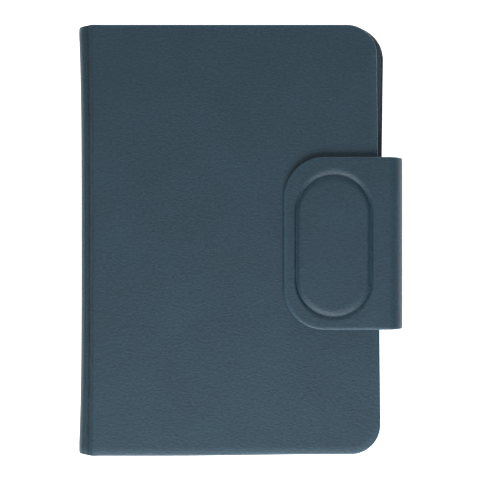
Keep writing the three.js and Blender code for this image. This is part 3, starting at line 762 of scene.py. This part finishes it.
# ---- The leather pieces ----
def front_stations():
    """From the middle of the spine round the upper bend, over the front panel to its fore-edge."""
    edge = PANEL_HIGH.x
    shared = (TOP, 1.0, PANEL_DEPTH, HALF_LENGTH)
    run = spine_run(SPINE_DEPTH, PANEL_DEPTH)
    run += flat_run(BEND_X, edge - FORE_CORNER, 3.0, *shared)[1:]
    return run + corner_run(edge, 1, FORE_CORNER, COVER_STEPS, *shared)


def strip_stations():
    """From the middle of the spine round the lower bend to the strip that holds the tray."""
    shared = (0.0, -1.0, STRIP_DEPTH, HALF_LENGTH)
    run = flipped(spine_run(SPINE_DEPTH, STRIP_DEPTH))
    run += flat_run(BEND_X, STRIP_X - STRIP_CORNER, 0.4, *shared)[1:]
    return run + corner_run(STRIP_X, 1, STRIP_CORNER, SMALL_STEPS, *shared)


class CASE_OT_front_cover(bpy.types.Operator):
    """The front panel's leather, in one piece with the upper half of the spine"""

    bl_idname = "tablet_case.front_cover"
    bl_label = "Front Cover"

    def execute(self, context):
        sizes = context.scene.case_sizes
        skew = -sizes.front_skew / MM
        warp = case_warp(skew)
        fall = (FRONT_FALL, sizes.fall / MM)
        run = front_stations()
        rim = sizes.rim / MM
        cover = wrapped("front_cover_leather", run, rim, COVER_ROWS, fall=fall, warp=warp)
        finish_piece(cover, "cover_leather", "front_panel_skin", "spine_skin", "spine_board")
        run = lined(run)
        lining = wrapped(
            "front_cover_lining", run, LINING_RIM, COVER_ROWS, margin=COVER_MARGIN, warp=warp
        )
        finish_piece(lining, "microfibre_lining", "front_panel_lining", "spine_lining")
        ends = (SPINE_X, TOP - BEND), (BEND_X, TOP)
        blend_across((cover, lining), "spine", "keyboard_half", *ends)
        warped_board("front_panel_board", skew, BEND_X + BOARD_START, PANEL_HIGH.x)
        return {"FINISHED"}


class CASE_OT_spine(bpy.types.Operator):
    """The lower half of the spine's leather, down to the strip that holds the tray"""

    bl_idname = "tablet_case.spine"
    bl_label = "Spine"

    def execute(self, context):
        warp = case_warp(0)
        rim = context.scene.case_sizes.rim / MM
        spine = wrapped("spine_back_leather", strip_stations(), rim, COVER_ROWS, warp=warp)
        finish_piece(spine, "cover_leather", "spine_anchor_strip", "spine_skin")
        run = [s for s in lined(strip_stations()) if not s.corner and s.x < STRIP_X - 2]
        lining = wrapped(
            "spine_back_lining", run, LINING_RIM, COVER_ROWS, margin=COVER_MARGIN, warp=warp
        )
        finish_piece(lining, "microfibre_lining", "spine_lining")
        blend_across((spine, lining), "spine", "tablet_half", (SPINE_X, BEND), (BEND_X, 0))
        return {"FINISHED"}


def back_stations():
    """Across the back, from the kickstand's free edge over its crease to the fore-edge."""
    edge = BACK_HIGH.x
    side = (0.0, -1.0, FLAP_DEPTH, HALF_LENGTH)
    run = corner_run(FLAP_X, -1, FLAP_CORNER, SMALL_STEPS, *side)[::-1]
    crease = spaced(-CREASE_REACH, CREASE_REACH, 0.8)
    before = spaced(FLAP_X + 4, crease[0], 4.0)[:-1]
    beyond = spaced(crease[-1], edge - BACK_CORNER, 4.0)[1:]
    for x in before + crease + beyond:
        board = FLAP_DEPTH if x < 0 else BACK_HIGH.z
        rise = ease(abs(x), CREASE_HALF, CREASE_HALF + CREASE_SLOPE)
        inner = mix(CREASE_DEPTH, board, rise)
        run.append(Station(x, 0.0, 0.0, -1.0, 0.0, inner, HALF_LENGTH))
    side = (0.0, -1.0, BACK_HIGH.z, HALF_LENGTH)
    return run + corner_run(edge, 1, BACK_CORNER, COVER_STEPS, *side)


def cut_camera_hole(back):
    """A round hole through the back, a little wider than the camera ring."""
    middle = (BEZEL_LOW + BEZEL_HIGH) / 2
    radius = (BEZEL_HIGH.x - middle.x + 0.1) * MM
    tool = bpy.data.meshes.new("camera_cutter")
    edit = bmesh.new()
    bmesh.ops.create_cone(
        edit,
        cap_ends=True,
        segments=64,
        radius1=radius,
        radius2=radius,
        depth=20 * MM,
        matrix=Matrix.Translation(Vector((middle.x, middle.y, 0)) * MM),
    )
    edit.to_mesh(tool)
    edit.free()
    cutter = new_object("camera_cutter", tool)
    cut = back.modifiers.new("Camera Hole", "BOOLEAN")
    cut.operation = "DIFFERENCE"
    cut.solver = "EXACT"
    cut.object = cutter
    plain_mesh(back)
    bpy.data.objects.remove(cutter)
    back.data.set_sharp_from_angle(angle=math.radians(SHARP_LEATHER))


class CASE_OT_back_cover(bpy.types.Operator):
    """The back panel's leather with its kickstand flap, creased between the two boards"""

    bl_idname = "tablet_case.back_cover"
    bl_label = "Back Cover"

    def execute(self, context):
        sizes = context.scene.case_sizes
        skew = sizes.back_skew / MM
        back = wrapped(
            "back_cover_leather",
            back_stations(),
            sizes.rim / MM,
            COVER_ROWS,
            fall=(BACK_FALL, sizes.fall / MM / 2),
            warp=case_warp(skew),
        )
        cut_camera_hole(back)
        finish_piece(back, "cover_leather", "back_panel_skin", "kickstand_skin")
        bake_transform(back)
        warped_board("back_panel_board", skew, CREASE_BOARD, BACK_HIGH.x)
        warped_board("kickstand_board", skew, FLAP_X, -CREASE_BOARD)
        return {"FINISHED"}


def strap_half(along, turned):
    """The clasp's half-length, a little shorter where it goes round the fore-edge."""
    return CLASP_HALF - CLASP_NARROW * ease(along, 0, turned)


def clasp_stations():
    """The clasp's two runs: from the back panel to half way up its wall, and on over the front."""
    low_x, high_x = WALL_X - CLASP_LOW_BEND, WALL_X - CLASP_HIGH_BEND
    high_z = CLASP_TOP - CLASP_HIGH_BEND
    middle = (CLASP_LOW_BEND + high_z) / 2
    below = (0.0, -1.0, CLASP_DEPTH, CLASP_HALF)
    above = (CLASP_TOP, 1.0, CLASP_DEPTH, CLASP_HALF)

    def upright(x, z, nx, nz, half):
        return Station(x, z, nx, nz, 0.0, CLASP_DEPTH, half)

    strap = corner_run(ANCHOR_X, -1, STRIP_CORNER, SMALL_STEPS, *below)[::-1]
    strap += flat_run(ANCHOR_X + STRIP_CORNER, low_x, 1.2, *below)[:-1]
    for angle in spaced(-QUARTER, 0, 0.12):
        nx, nz = math.cos(angle), math.sin(angle)
        x, z = low_x + CLASP_LOW_BEND * nx, CLASP_LOW_BEND * (1 + nz)
        strap.append(upright(x, z, nx, nz, strap_half(angle + QUARTER, QUARTER)))
    half = strap_half(1, 1)
    strap += [upright(WALL_X, z, 1.0, 0.0, half) for z in spaced(CLASP_LOW_BEND, middle, 1.0)[1:]]
    pad = [upright(WALL_X, z, 1.0, 0.0, half) for z in spaced(middle, high_z, 1.0)[:-1]]
    for angle in spaced(0, QUARTER, 0.08):
        nx, nz = math.cos(angle), math.sin(angle)
        x, z = high_x + CLASP_HIGH_BEND * nx, high_z + CLASP_HIGH_BEND * nz
        pad.append(upright(x, z, nx, nz, strap_half(QUARTER - angle, QUARTER)))
    pad += flat_run(high_x, PAD_LOW.x + CLASP_CORNER, 0.6, *above)[1:]
    pad += corner_run(PAD_LOW.x, -1, CLASP_CORNER, PAD_STEPS, *above)
    return strap, pad


def ring_press(sizes):
    """How far the clasp's top is sunk at a point: the ring's groove, less a crown inside it."""
    straight = RING_HALF_LENGTH - RING_HALF_WIDTH
    widths = (sizes.groove_inside / MM, sizes.groove_outside / MM)
    depth, crown = sizes.groove_depth / MM, sizes.crown / MM

    def press(x, y):
        beyond = max(abs(y - RING_Y) - straight, 0.0)
        out = math.hypot(x - RING_X, beyond)
        off = out - RING_HALF_WIDTH
        at_end = (beyond / out) ** 2 if out else 0.0
        pinch = sizes.groove_pinch * (RING_OUTER_PINCH if off > 0 else 1)
        width = widths[off > 0] * mix(1 - pinch, 1, at_end)
        if off > 0 and y > RING_Y:
            width *= 1 + RING_UPPER_SPREAD * at_end
        share = min(abs(off) / width, 1)
        groove = depth * mix(1, RING_END_DEPTH, at_end) * (1 - math.sin(QUARTER * share))
        swell = crown * (1 - ease(out, 0, RING_HALF_WIDTH))
        return groove - swell

    return press


class CASE_OT_clasp(bpy.types.Operator):
    """The clasp's leather strap and pad, with its pressed ring, and their lining"""

    bl_idname = "tablet_case.clasp"
    bl_label = "Clasp"

    def execute(self, context):
        sizes = context.scene.case_sizes
        strap_run, pad_run = clasp_stations()
        rim = CLASP_RIM * sizes.rim / MM
        strap = wrapped("clasp_strap_leather", strap_run, rim, CLASP_ROWS, CLASP_MIDDLE)
        pad = wrapped(
            "clasp_pad_leather",
            pad_run,
            rim,
            PAD_ROWS,
            CLASP_MIDDLE,
            fall=(CLASP_FALL, sizes.fall / MM / 2),
            press=ring_press(sizes),
        )
        finish_piece(strap, "cover_leather", "clasp_anchor", "clasp_wall_skin")
        finish_piece(pad, "cover_leather", "clasp_pad_skin", "clasp_wall_skin", "clasp_pad_core")
        strap_run = [s for s in strap_run if not s.corner and s.x > ANCHOR_X + 1.5]
        # The lining has no ring in it, so every fourth station will do round its corners.
        last = len(pad_run) - 1
        pad_run = [s for i, s in enumerate(pad_run) if not s.corner or i % 4 == 0 or i == last]
        shared = (LINING_RIM, CLASP_ROWS, CLASP_MIDDLE, CLASP_MARGIN)
        strap_lining = wrapped("clasp_strap_lining", lined(strap_run), *shared)
        pad_lining = wrapped("clasp_pad_lining_sheet", lined(pad_run), *shared)
        finish_piece(strap_lining, "microfibre_lining")
        finish_piece(pad_lining, "microfibre_lining", "clasp_pad_lining")
        low = (WALL_X - CLASP_LOW_BEND, 0), (WALL_X, CLASP_LOW_BEND)
        blend_across((strap, strap_lining), "tablet_half", "clasp_wall", *low)
        high = (WALL_X, CLASP_TOP - CLASP_HIGH_BEND), (WALL_X - CLASP_HIGH_BEND, CLASP_TOP)
        blend_across((pad, pad_lining), "clasp_wall", "clasp_pad", *high)
        return {"FINISHED"}


# ---- The hard pieces ----
# piece, CAD node, slot, edge radius
TABLET_SIDE = [
    ("snap_in_tray", "tablet_tray", "shell_plastic", 0.3),
    ("camera_ring", "camera_bezel", "shell_plastic", 0.35),
    ("power_button_cap", "power_button_cover", "shell_plastic", 0.3),
    ("volume_up_cap", "volume_up_cover", "shell_plastic", 0.3),
    ("volume_down_cap", "volume_down_cover", "shell_plastic", 0.3),
]
KEYBOARD_SIDE = [
    ("keyboard_deck", "keyboard_frame", "shell_plastic", 0.25),
    ("keyboard_floor", "keyboard_base", "shell_plastic", 0.3),
    ("trackpad_plate", "trackpad", "key_plastic", 0.15),
    ("power_slider_knob", "power_slider", "key_plastic", 0.3),
    ("bumper_strip_left", "bumper_left", "black_rubber", 0.1),
    ("bumper_strip_right", "bumper_right", "black_rubber", 0.1),
    ("status_light_lens", "status_light", "light_lens", 0.12),
    ("charging_socket", "charging_port", "plated_steel", 0.08),
]


def lean_out(mesh):
    """Pushes the fore-edge wall out towards its +Y end, where the back panel leans out under it."""
    lean = WALL_LEAN * bpy.context.scene.case_sizes.back_skew
    for vertex in mesh.vertices:
        x, y = vertex.co.x / MM, vertex.co.y / MM
        vertex.co.x += lean * max(y / HALF_LENGTH, 0) * ease(x, TRAY_WALL, TRAY_WALL + 1)


def mould(rows, leans=False):
    for name, node, slot, radius in rows:
        piece = moulded_copy(name, node, radius, slot)
        if leans:
            lean_out(piece.data)
        finish_piece(piece, slot, node)
        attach(piece, frame["nodes"][node]["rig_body"])


class CASE_OT_tray(bpy.types.Operator):
    """The snap-in tray with its button caps and camera ring, and the cloth on its floor"""

    bl_idname = "tablet_case.tray"
    bl_label = "Tray"

    def execute(self, context):
        mould(TABLET_SIDE, leans=True)
        cloth = moulded_copy("tray_floor_lining", "tray_lining", 0.05, "microfibre_lining", 1)
        finish_piece(cloth, "microfibre_lining", "tray_lining")
        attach(cloth, "tablet_half")
        return {"FINISHED"}


class CASE_OT_keyboard(bpy.types.Operator):
    """The keyboard's body, trackpad, switch, bumpers and light"""

    bl_idname = "tablet_case.keyboard"
    bl_label = "Keyboard Body"

    def execute(self, context):
        mould(KEYBOARD_SIDE)
        return {"FINISHED"}


# ---- Keys ----
# The legends of each row's keys, from the typist's left, by the row's carrier
LEGENDS = {
    "function_keys": "esc F1 F2 F3 F4 F5 F6 F7 F8 F9 F10 F11 F12 del",
    "number_keys": "` 1 2 3 4 5 6 7 8 9 0 - =",
    "backspace_key": "back",
    "tab_key": "tab",
    "upper_letter_keys": "Q W E R T Y U I O P [ ] \\",
    "caps_lock_key": "caps",
    "home_letter_keys": "A S D F G H J K L ; '",
    "enter_key": "enter",
    "left_shift_key": "shift",
    "lower_letter_keys": "Z X C V B N M , . /",
    "right_shift_key": "shift",
    "left_modifier_keys": "fn ctrl alt menu",
    "space_bar": "",
    "right_modifier_keys": "alt ctrl",
    "arrow_left_key": "<",
    "arrow_up_key": "^",
    "arrow_down_key": "v",
    "arrow_right_key": ">",
}
WIDE_KEYS = {"menu": 1.25}  # in widths of the other keys on the same carrier
KEY_SIDE = 0.4  # from the carrier's edge to the edge of a key's cell
KEY_GAP = 1.0  # from a cell's edge to the key's foot
KEY_RISE = 2.2  # from a key's top to its carrier
# A cap's section from its foot to its top: (drawn in, height above the carrier)
CAP_SECTION = [(0.0, 0.0), (0.1, 0.8), (0.3, 1.6), (0.42, 1.95), (0.6, 2.12), (0.9, 2.2)]
CAP_CORNER = 1.3
CAP_DISHES = [(0.66, 0.55), (0.33, 0.9)]  # rings in the top: (share of its size, of the dish)
LETTER_SIZE, WORD_SIZE = 3.6, 2.3
INK_DEPTH = 0.03  # on each side of the key's surface, so that the print stands clear of it


def rounded_loop(half_x, half_y, radius, steps=4):
    """The points of a rounded rectangle, once round."""
    points = []
    for turn, (sx, sy) in enumerate([(1, 1), (-1, 1), (-1, -1), (1, -1)]):
        for i in range(steps + 1):
            angle = QUARTER * (turn + i / steps)
            x = sx * (half_x - radius) + radius * math.cos(angle)
            points.append((x, sy * (half_y - radius) + radius * math.sin(angle)))
    return points


def cap_mesh(name, deep, wide, dish):
    """One key cap with its foot at z = 0, facing down: its top is at -KEY_RISE."""
    half_x, half_y = deep / 2 - KEY_GAP, wide / 2 - KEY_GAP
    loops = []
    for inset, height in CAP_SECTION:
        radius = max(CAP_CORNER - inset * 0.5, 0.4)
        loop = rounded_loop(half_x - inset, half_y - inset, radius)
        loops.append([(x, y, -height) for x, y in loop])
    top_x, top_y = half_x - CAP_SECTION[-1][0], half_y - CAP_SECTION[-1][0]
    for share, sunk in CAP_DISHES:
        ring = rounded_loop(top_x * share, top_y * share, 0.5 * share)
        loops.append([(x, y, -KEY_RISE + dish * sunk) for x, y in ring])
    points = [p for loop in loops for p in loop] + [(0.0, 0.0, -KEY_RISE + dish)]
    size = len(loops[0])
    faces = [list(range(size))]
    for row in range(len(loops) - 1):
        for i in range(size):
            j = (i + 1) % size
            near, far = row * size, (row + 1) * size
            faces.append([near + i, near + j, far + j, far + i])
    start = (len(loops) - 1) * size
    faces += [[start + i, start + (i + 1) % size, len(points) - 1] for i in range(size)]
    mesh = bpy.data.meshes.new(name)
    mesh.from_pydata([Vector(p) * MM for p in points], [], faces)
    face_out(mesh, SHARP_KEY)
    return mesh


def key_row_tree():
    """Geometry nodes: one key cap repeated along a row."""
    tree = bpy.data.node_groups.new("Key Row", "GeometryNodeTree")
    tree.is_modifier = True
    for name, kind in (
        ("Cap", "Geometry"),
        ("Key Count", "Int"),
        ("First Key", "Vector"),
        ("Key Spacing", "Vector"),
        ("Finish", "Material"),
    ):
        tree.interface.new_socket(name, in_out="INPUT", socket_type="NodeSocket" + kind)
    tree.interface.new_socket("Keys", in_out="OUTPUT", socket_type="NodeSocketGeometry")
    given = tree.nodes.new("NodeGroupInput").outputs
    line = add(
        tree,
        "MeshLine",
        {
            "Count": given["Key Count"],
            "Start Location": given["First Key"],
            "Offset": given["Key Spacing"],
        },
        mode="OFFSET",
    )
    caps = add(tree, "InstanceOnPoints", {"Points": line, "Instance": given["Cap"]})
    real = add(tree, "RealizeInstances", {"Geometry": caps})
    painted = add(tree, "SetMaterial", {"Geometry": real, "Material": given["Finish"]})
    fill(tree, tree.nodes.new("NodeGroupOutput"), {"Keys": painted})
    return tree


def key_cells(node):
    """Each run of equal keys on one carrier: (count, depth, width, first key's centre)."""
    low, high = node_box(node)
    deep = high.x - low.x + 2 * KEY_SIDE
    long = high.y - low.y + 2 * KEY_SIDE
    widths = [WIDE_KEYS.get(word, 1) for word in LEGENDS[node].split(" ")]
    y = high.y + KEY_SIDE
    foot = low.z + KEY_RISE
    runs = []
    for width, equal in groupby(widths):
        count = len(list(equal))
        wide = long * width / sum(widths)
        runs.append((count, deep, wide, Vector(((low.x + high.x) / 2, y - wide / 2, foot))))
        y -= wide * count
    return runs


class CASE_OT_keys(bpy.types.Operator):
    """The dished key caps of each row, on the row's carrier"""

    bl_idname = "tablet_case.keys"
    bl_label = "Keys"

    def execute(self, context):
        tree = key_row_tree()
        sockets = {s.name: s.identifier for s in tree.interface.items_tree if s.in_out == "INPUT"}
        dish = context.scene.case_sizes.dish / MM
        for node in LEGENDS:
            low, high = node_box(node)
            edit = bmesh.new()
            for count, deep, wide, first in key_cells(node):
                part = new_object("key_run", cap_mesh("key_run", deep, wide, dish))
                row = part.modifiers.new("Row", "NODES")
                row.node_group = tree
                row[sockets["Key Count"]] = count
                row[sockets["First Key"]] = first * MM
                row[sockets["Key Spacing"]] = (0.0, -wide * MM, 0.0)
                row[sockets["Finish"]] = FINISHES["key_plastic"]
                edit.from_mesh(plain_mesh(part).data)
                bpy.data.objects.remove(part)
            low.z += KEY_RISE
            carrier = Matrix.Translation((low + high) / 2 * MM)
            carrier @= Matrix.Diagonal((*((high - low) * MM), 1))
            bmesh.ops.create_cube(edit, size=1, matrix=carrier)
            mesh = bpy.data.meshes.new(node + "_caps")
            edit.to_mesh(mesh)
            edit.free()
            smooth(mesh, SHARP_KEY)
            piece = new_object(node + "_caps", mesh)
            finish_piece(piece, "key_plastic", node)
            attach(piece, node)
        return {"FINISHED"}


# Turns text that reads along +X, its top to +Y, so that it reads on a key seen from below
READ_FROM_BELOW = Matrix(((0, -1, 0, 0), (-1, 0, 0, 0), (0, 0, -1, 0), (0, 0, 0, 1)))


def new_text(word):
    text = bpy.data.curves.new("legend", "FONT")
    text.body = word
    text.size = (LETTER_SIZE if len(word) == 1 else WORD_SIZE) * MM
    text.align_x = "CENTER"
    text.align_y = "CENTER"
    text.resolution_u = 3
    text.extrude = INK_DEPTH * MM
    return new_object("legend", text)


class CASE_OT_legends(bpy.types.Operator):
    """The plain letters, numbers and words printed on the keys"""

    bl_idname = "tablet_case.legends"
    bl_label = "Key Legends"

    def execute(self, context):
        top = context.scene.case_sizes.dish / MM - KEY_RISE
        written = {}
        for node, words in LEGENDS.items():
            spots = [
                first + Vector((0, -wide * i, top))
                for count, _, wide, first in key_cells(node)
                for i in range(count)
            ]
            written[node] = [(new_text(word), spot) for word, spot in zip(words.split(), spots)]
        graph = context.evaluated_depsgraph_get()
        for node, texts in written.items():
            if not texts:
                continue
            edit = bmesh.new()
            for text, spot in texts:
                mesh = bpy.data.meshes.new_from_object(text.evaluated_get(graph))
                mesh.transform(Matrix.Translation(spot * MM) @ READ_FROM_BELOW)
                edit.from_mesh(mesh)
            bmesh.ops.remove_doubles(edit, verts=edit.verts, dist=0.001 * MM)
            mesh = bpy.data.meshes.new(node + "_legends")
            edit.to_mesh(mesh)
            edit.free()
            piece = new_object(node + "_legends", mesh)
            finish_piece(piece, "key_plastic", finish="ink")
            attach(piece, node)
            for text, _ in texts:
                bpy.data.objects.remove(text)
        return {"FINISHED"}


# ---- Stage, in metres ----
FLOOR_SIDE, FLOOR_LEVEL = 4.0, -0.0004
CAMERA_PLACE = (-0.0003, -0.0003, 2.022)
CAMERA_LENS = 246.3  # focal length on a 36 mm sensor
# name, place, size across, size along, power: each lamp faces the case
LAMPS = [
    ("overhead", (0, 0, 2.9), 0.9, 1.6, 4),
    ("key", (0.0, -0.85, 0.56), 0.75, 0.5, 15.3),
    ("back", (0.0, 1.7, 0.34), 1.7, 0.4, 10),
]


def make_floor():
    mesh = bpy.data.meshes.new("floor")
    corners = [(-1, -1), (1, -1), (1, 1), (-1, 1)]
    points = [(x * FLOOR_SIDE, y * FLOOR_SIDE, FLOOR_LEVEL) for x, y in corners]
    mesh.from_pydata(points, [], [(0, 1, 2, 3)])
    floor = new_object("floor", mesh)
    material, tree, shader, _ = started("white_paper_sweep")
    fill(tree, shader, {"Base Color": (0.9, 0.9, 0.9, 1), "Roughness": 0.9})
    fill(tree, shader, {"Emission Color": (1, 1, 1, 1), "Emission Strength": 1.3})
    mesh.materials.append(material)


def make_surroundings(scene):
    """A dim tent overhead, and a bright band round the horizon that catches the turned edges."""
    scene.world = bpy.data.worlds.new("studio")
    scene.world.use_nodes = True
    tree = scene.world.node_tree
    facing = add(tree, "TexCoord").outputs["Generated"]
    way = add(tree, "SeparateXYZ", {0: facing}).outputs
    band = add(
        tree,
        "MapRange",
        {"Value": way["Z"], "From Min": 0.1, "From Max": 0.28, "To Min": 1.3, "To Max": 0.0},
    )
    # The band shows towards the case's two ends. The tent is dimmer towards its sides.
    ends = add(tree, "Math", {0: way["Y"], 1: way["Y"]}, operation="MULTIPLY")
    lean = add(tree, "Math", {0: way["X"], 1: -0.24, 2: -0.06}, operation="MULTIPLY_ADD")
    tent = add(tree, "Math", {0: way["X"], 1: lean, 2: 0.3}, operation="MULTIPLY_ADD")
    glow = add(tree, "Math", {0: band, 1: ends, 2: tent}, operation="MULTIPLY_ADD")
    sky = tree.nodes["Background"]
    fill(tree, sky, {"Color": (1, 1, 1, 1), "Strength": glow})


def make_lamps():
    for name, spot, across, along, power in LAMPS:
        lamp = bpy.data.lights.new(name, "AREA")
        lamp.shape = "RECTANGLE"
        lamp.size = across
        lamp.size_y = along
        lamp.energy = power
        made = new_object(name, lamp)
        made.location = spot
        made.rotation_euler = (Vector() - Vector(spot)).to_track_quat("-Z", "Y").to_euler()


def make_camera(scene):
    lens = bpy.data.cameras.new("camera")
    lens.sensor_width = 36
    lens.lens = CAMERA_LENS
    lens.clip_end = 20
    camera = new_object("camera", lens)
    camera.location = CAMERA_PLACE
    scene.camera = camera


class CASE_OT_stage(bpy.types.Operator):
    """The pale floor, soft lights, surroundings and the camera straight above"""

    bl_idname = "tablet_case.stage"
    bl_label = "Stage"

    def execute(self, context):
        make_floor()
        make_surroundings(context.scene)
        make_lamps()
        make_camera(context.scene)
        context.scene.view_settings.view_transform = "Standard"
        return {"FINISHED"}


OPERATORS = [
    CASE_OT_finishes,
    CASE_OT_front_cover,
    CASE_OT_spine,
    CASE_OT_back_cover,
    CASE_OT_clasp,
    CASE_OT_tray,
    CASE_OT_keyboard,
    CASE_OT_keys,
    CASE_OT_legends,
    CASE_OT_stage,
]


class CASE_PT_sidebar(bpy.types.Panel):
    """Sizes, colours and the steps that build the case"""

    bl_idname = "CASE_PT_sidebar"
    bl_label = "Tablet Keyboard Case"
    bl_space_type = "VIEW_3D"
    bl_region_type = "UI"
    bl_category = "Case"

    def draw(self, context):
        for group in (context.scene.case_sizes, context.scene.case_colours):
            for name in type(group).__annotations__:
                self.layout.prop(group, name)
        for operator in OPERATORS:
            self.layout.operator(operator.bl_idname)


CLASSES = [CaseSizes, CaseColours, *OPERATORS, CASE_PT_sidebar]


def register():
    for cls in CLASSES:
        bpy.utils.register_class(cls)
    bpy.types.Scene.case_sizes = PointerProperty(type=CaseSizes)
    bpy.types.Scene.case_colours = PointerProperty(type=CaseColours)


def unregister():
    del bpy.types.Scene.case_colours
    del bpy.types.Scene.case_sizes
    for cls in reversed(CLASSES):
        bpy.utils.unregister_class(cls)


def main():
    register()
    for operator in OPERATORS:
        group, name = operator.bl_idname.split(".")
        getattr(getattr(bpy.ops, group), name)()
    bpy.context.view_layer.update()


if __name__ == "__main__":
    main()
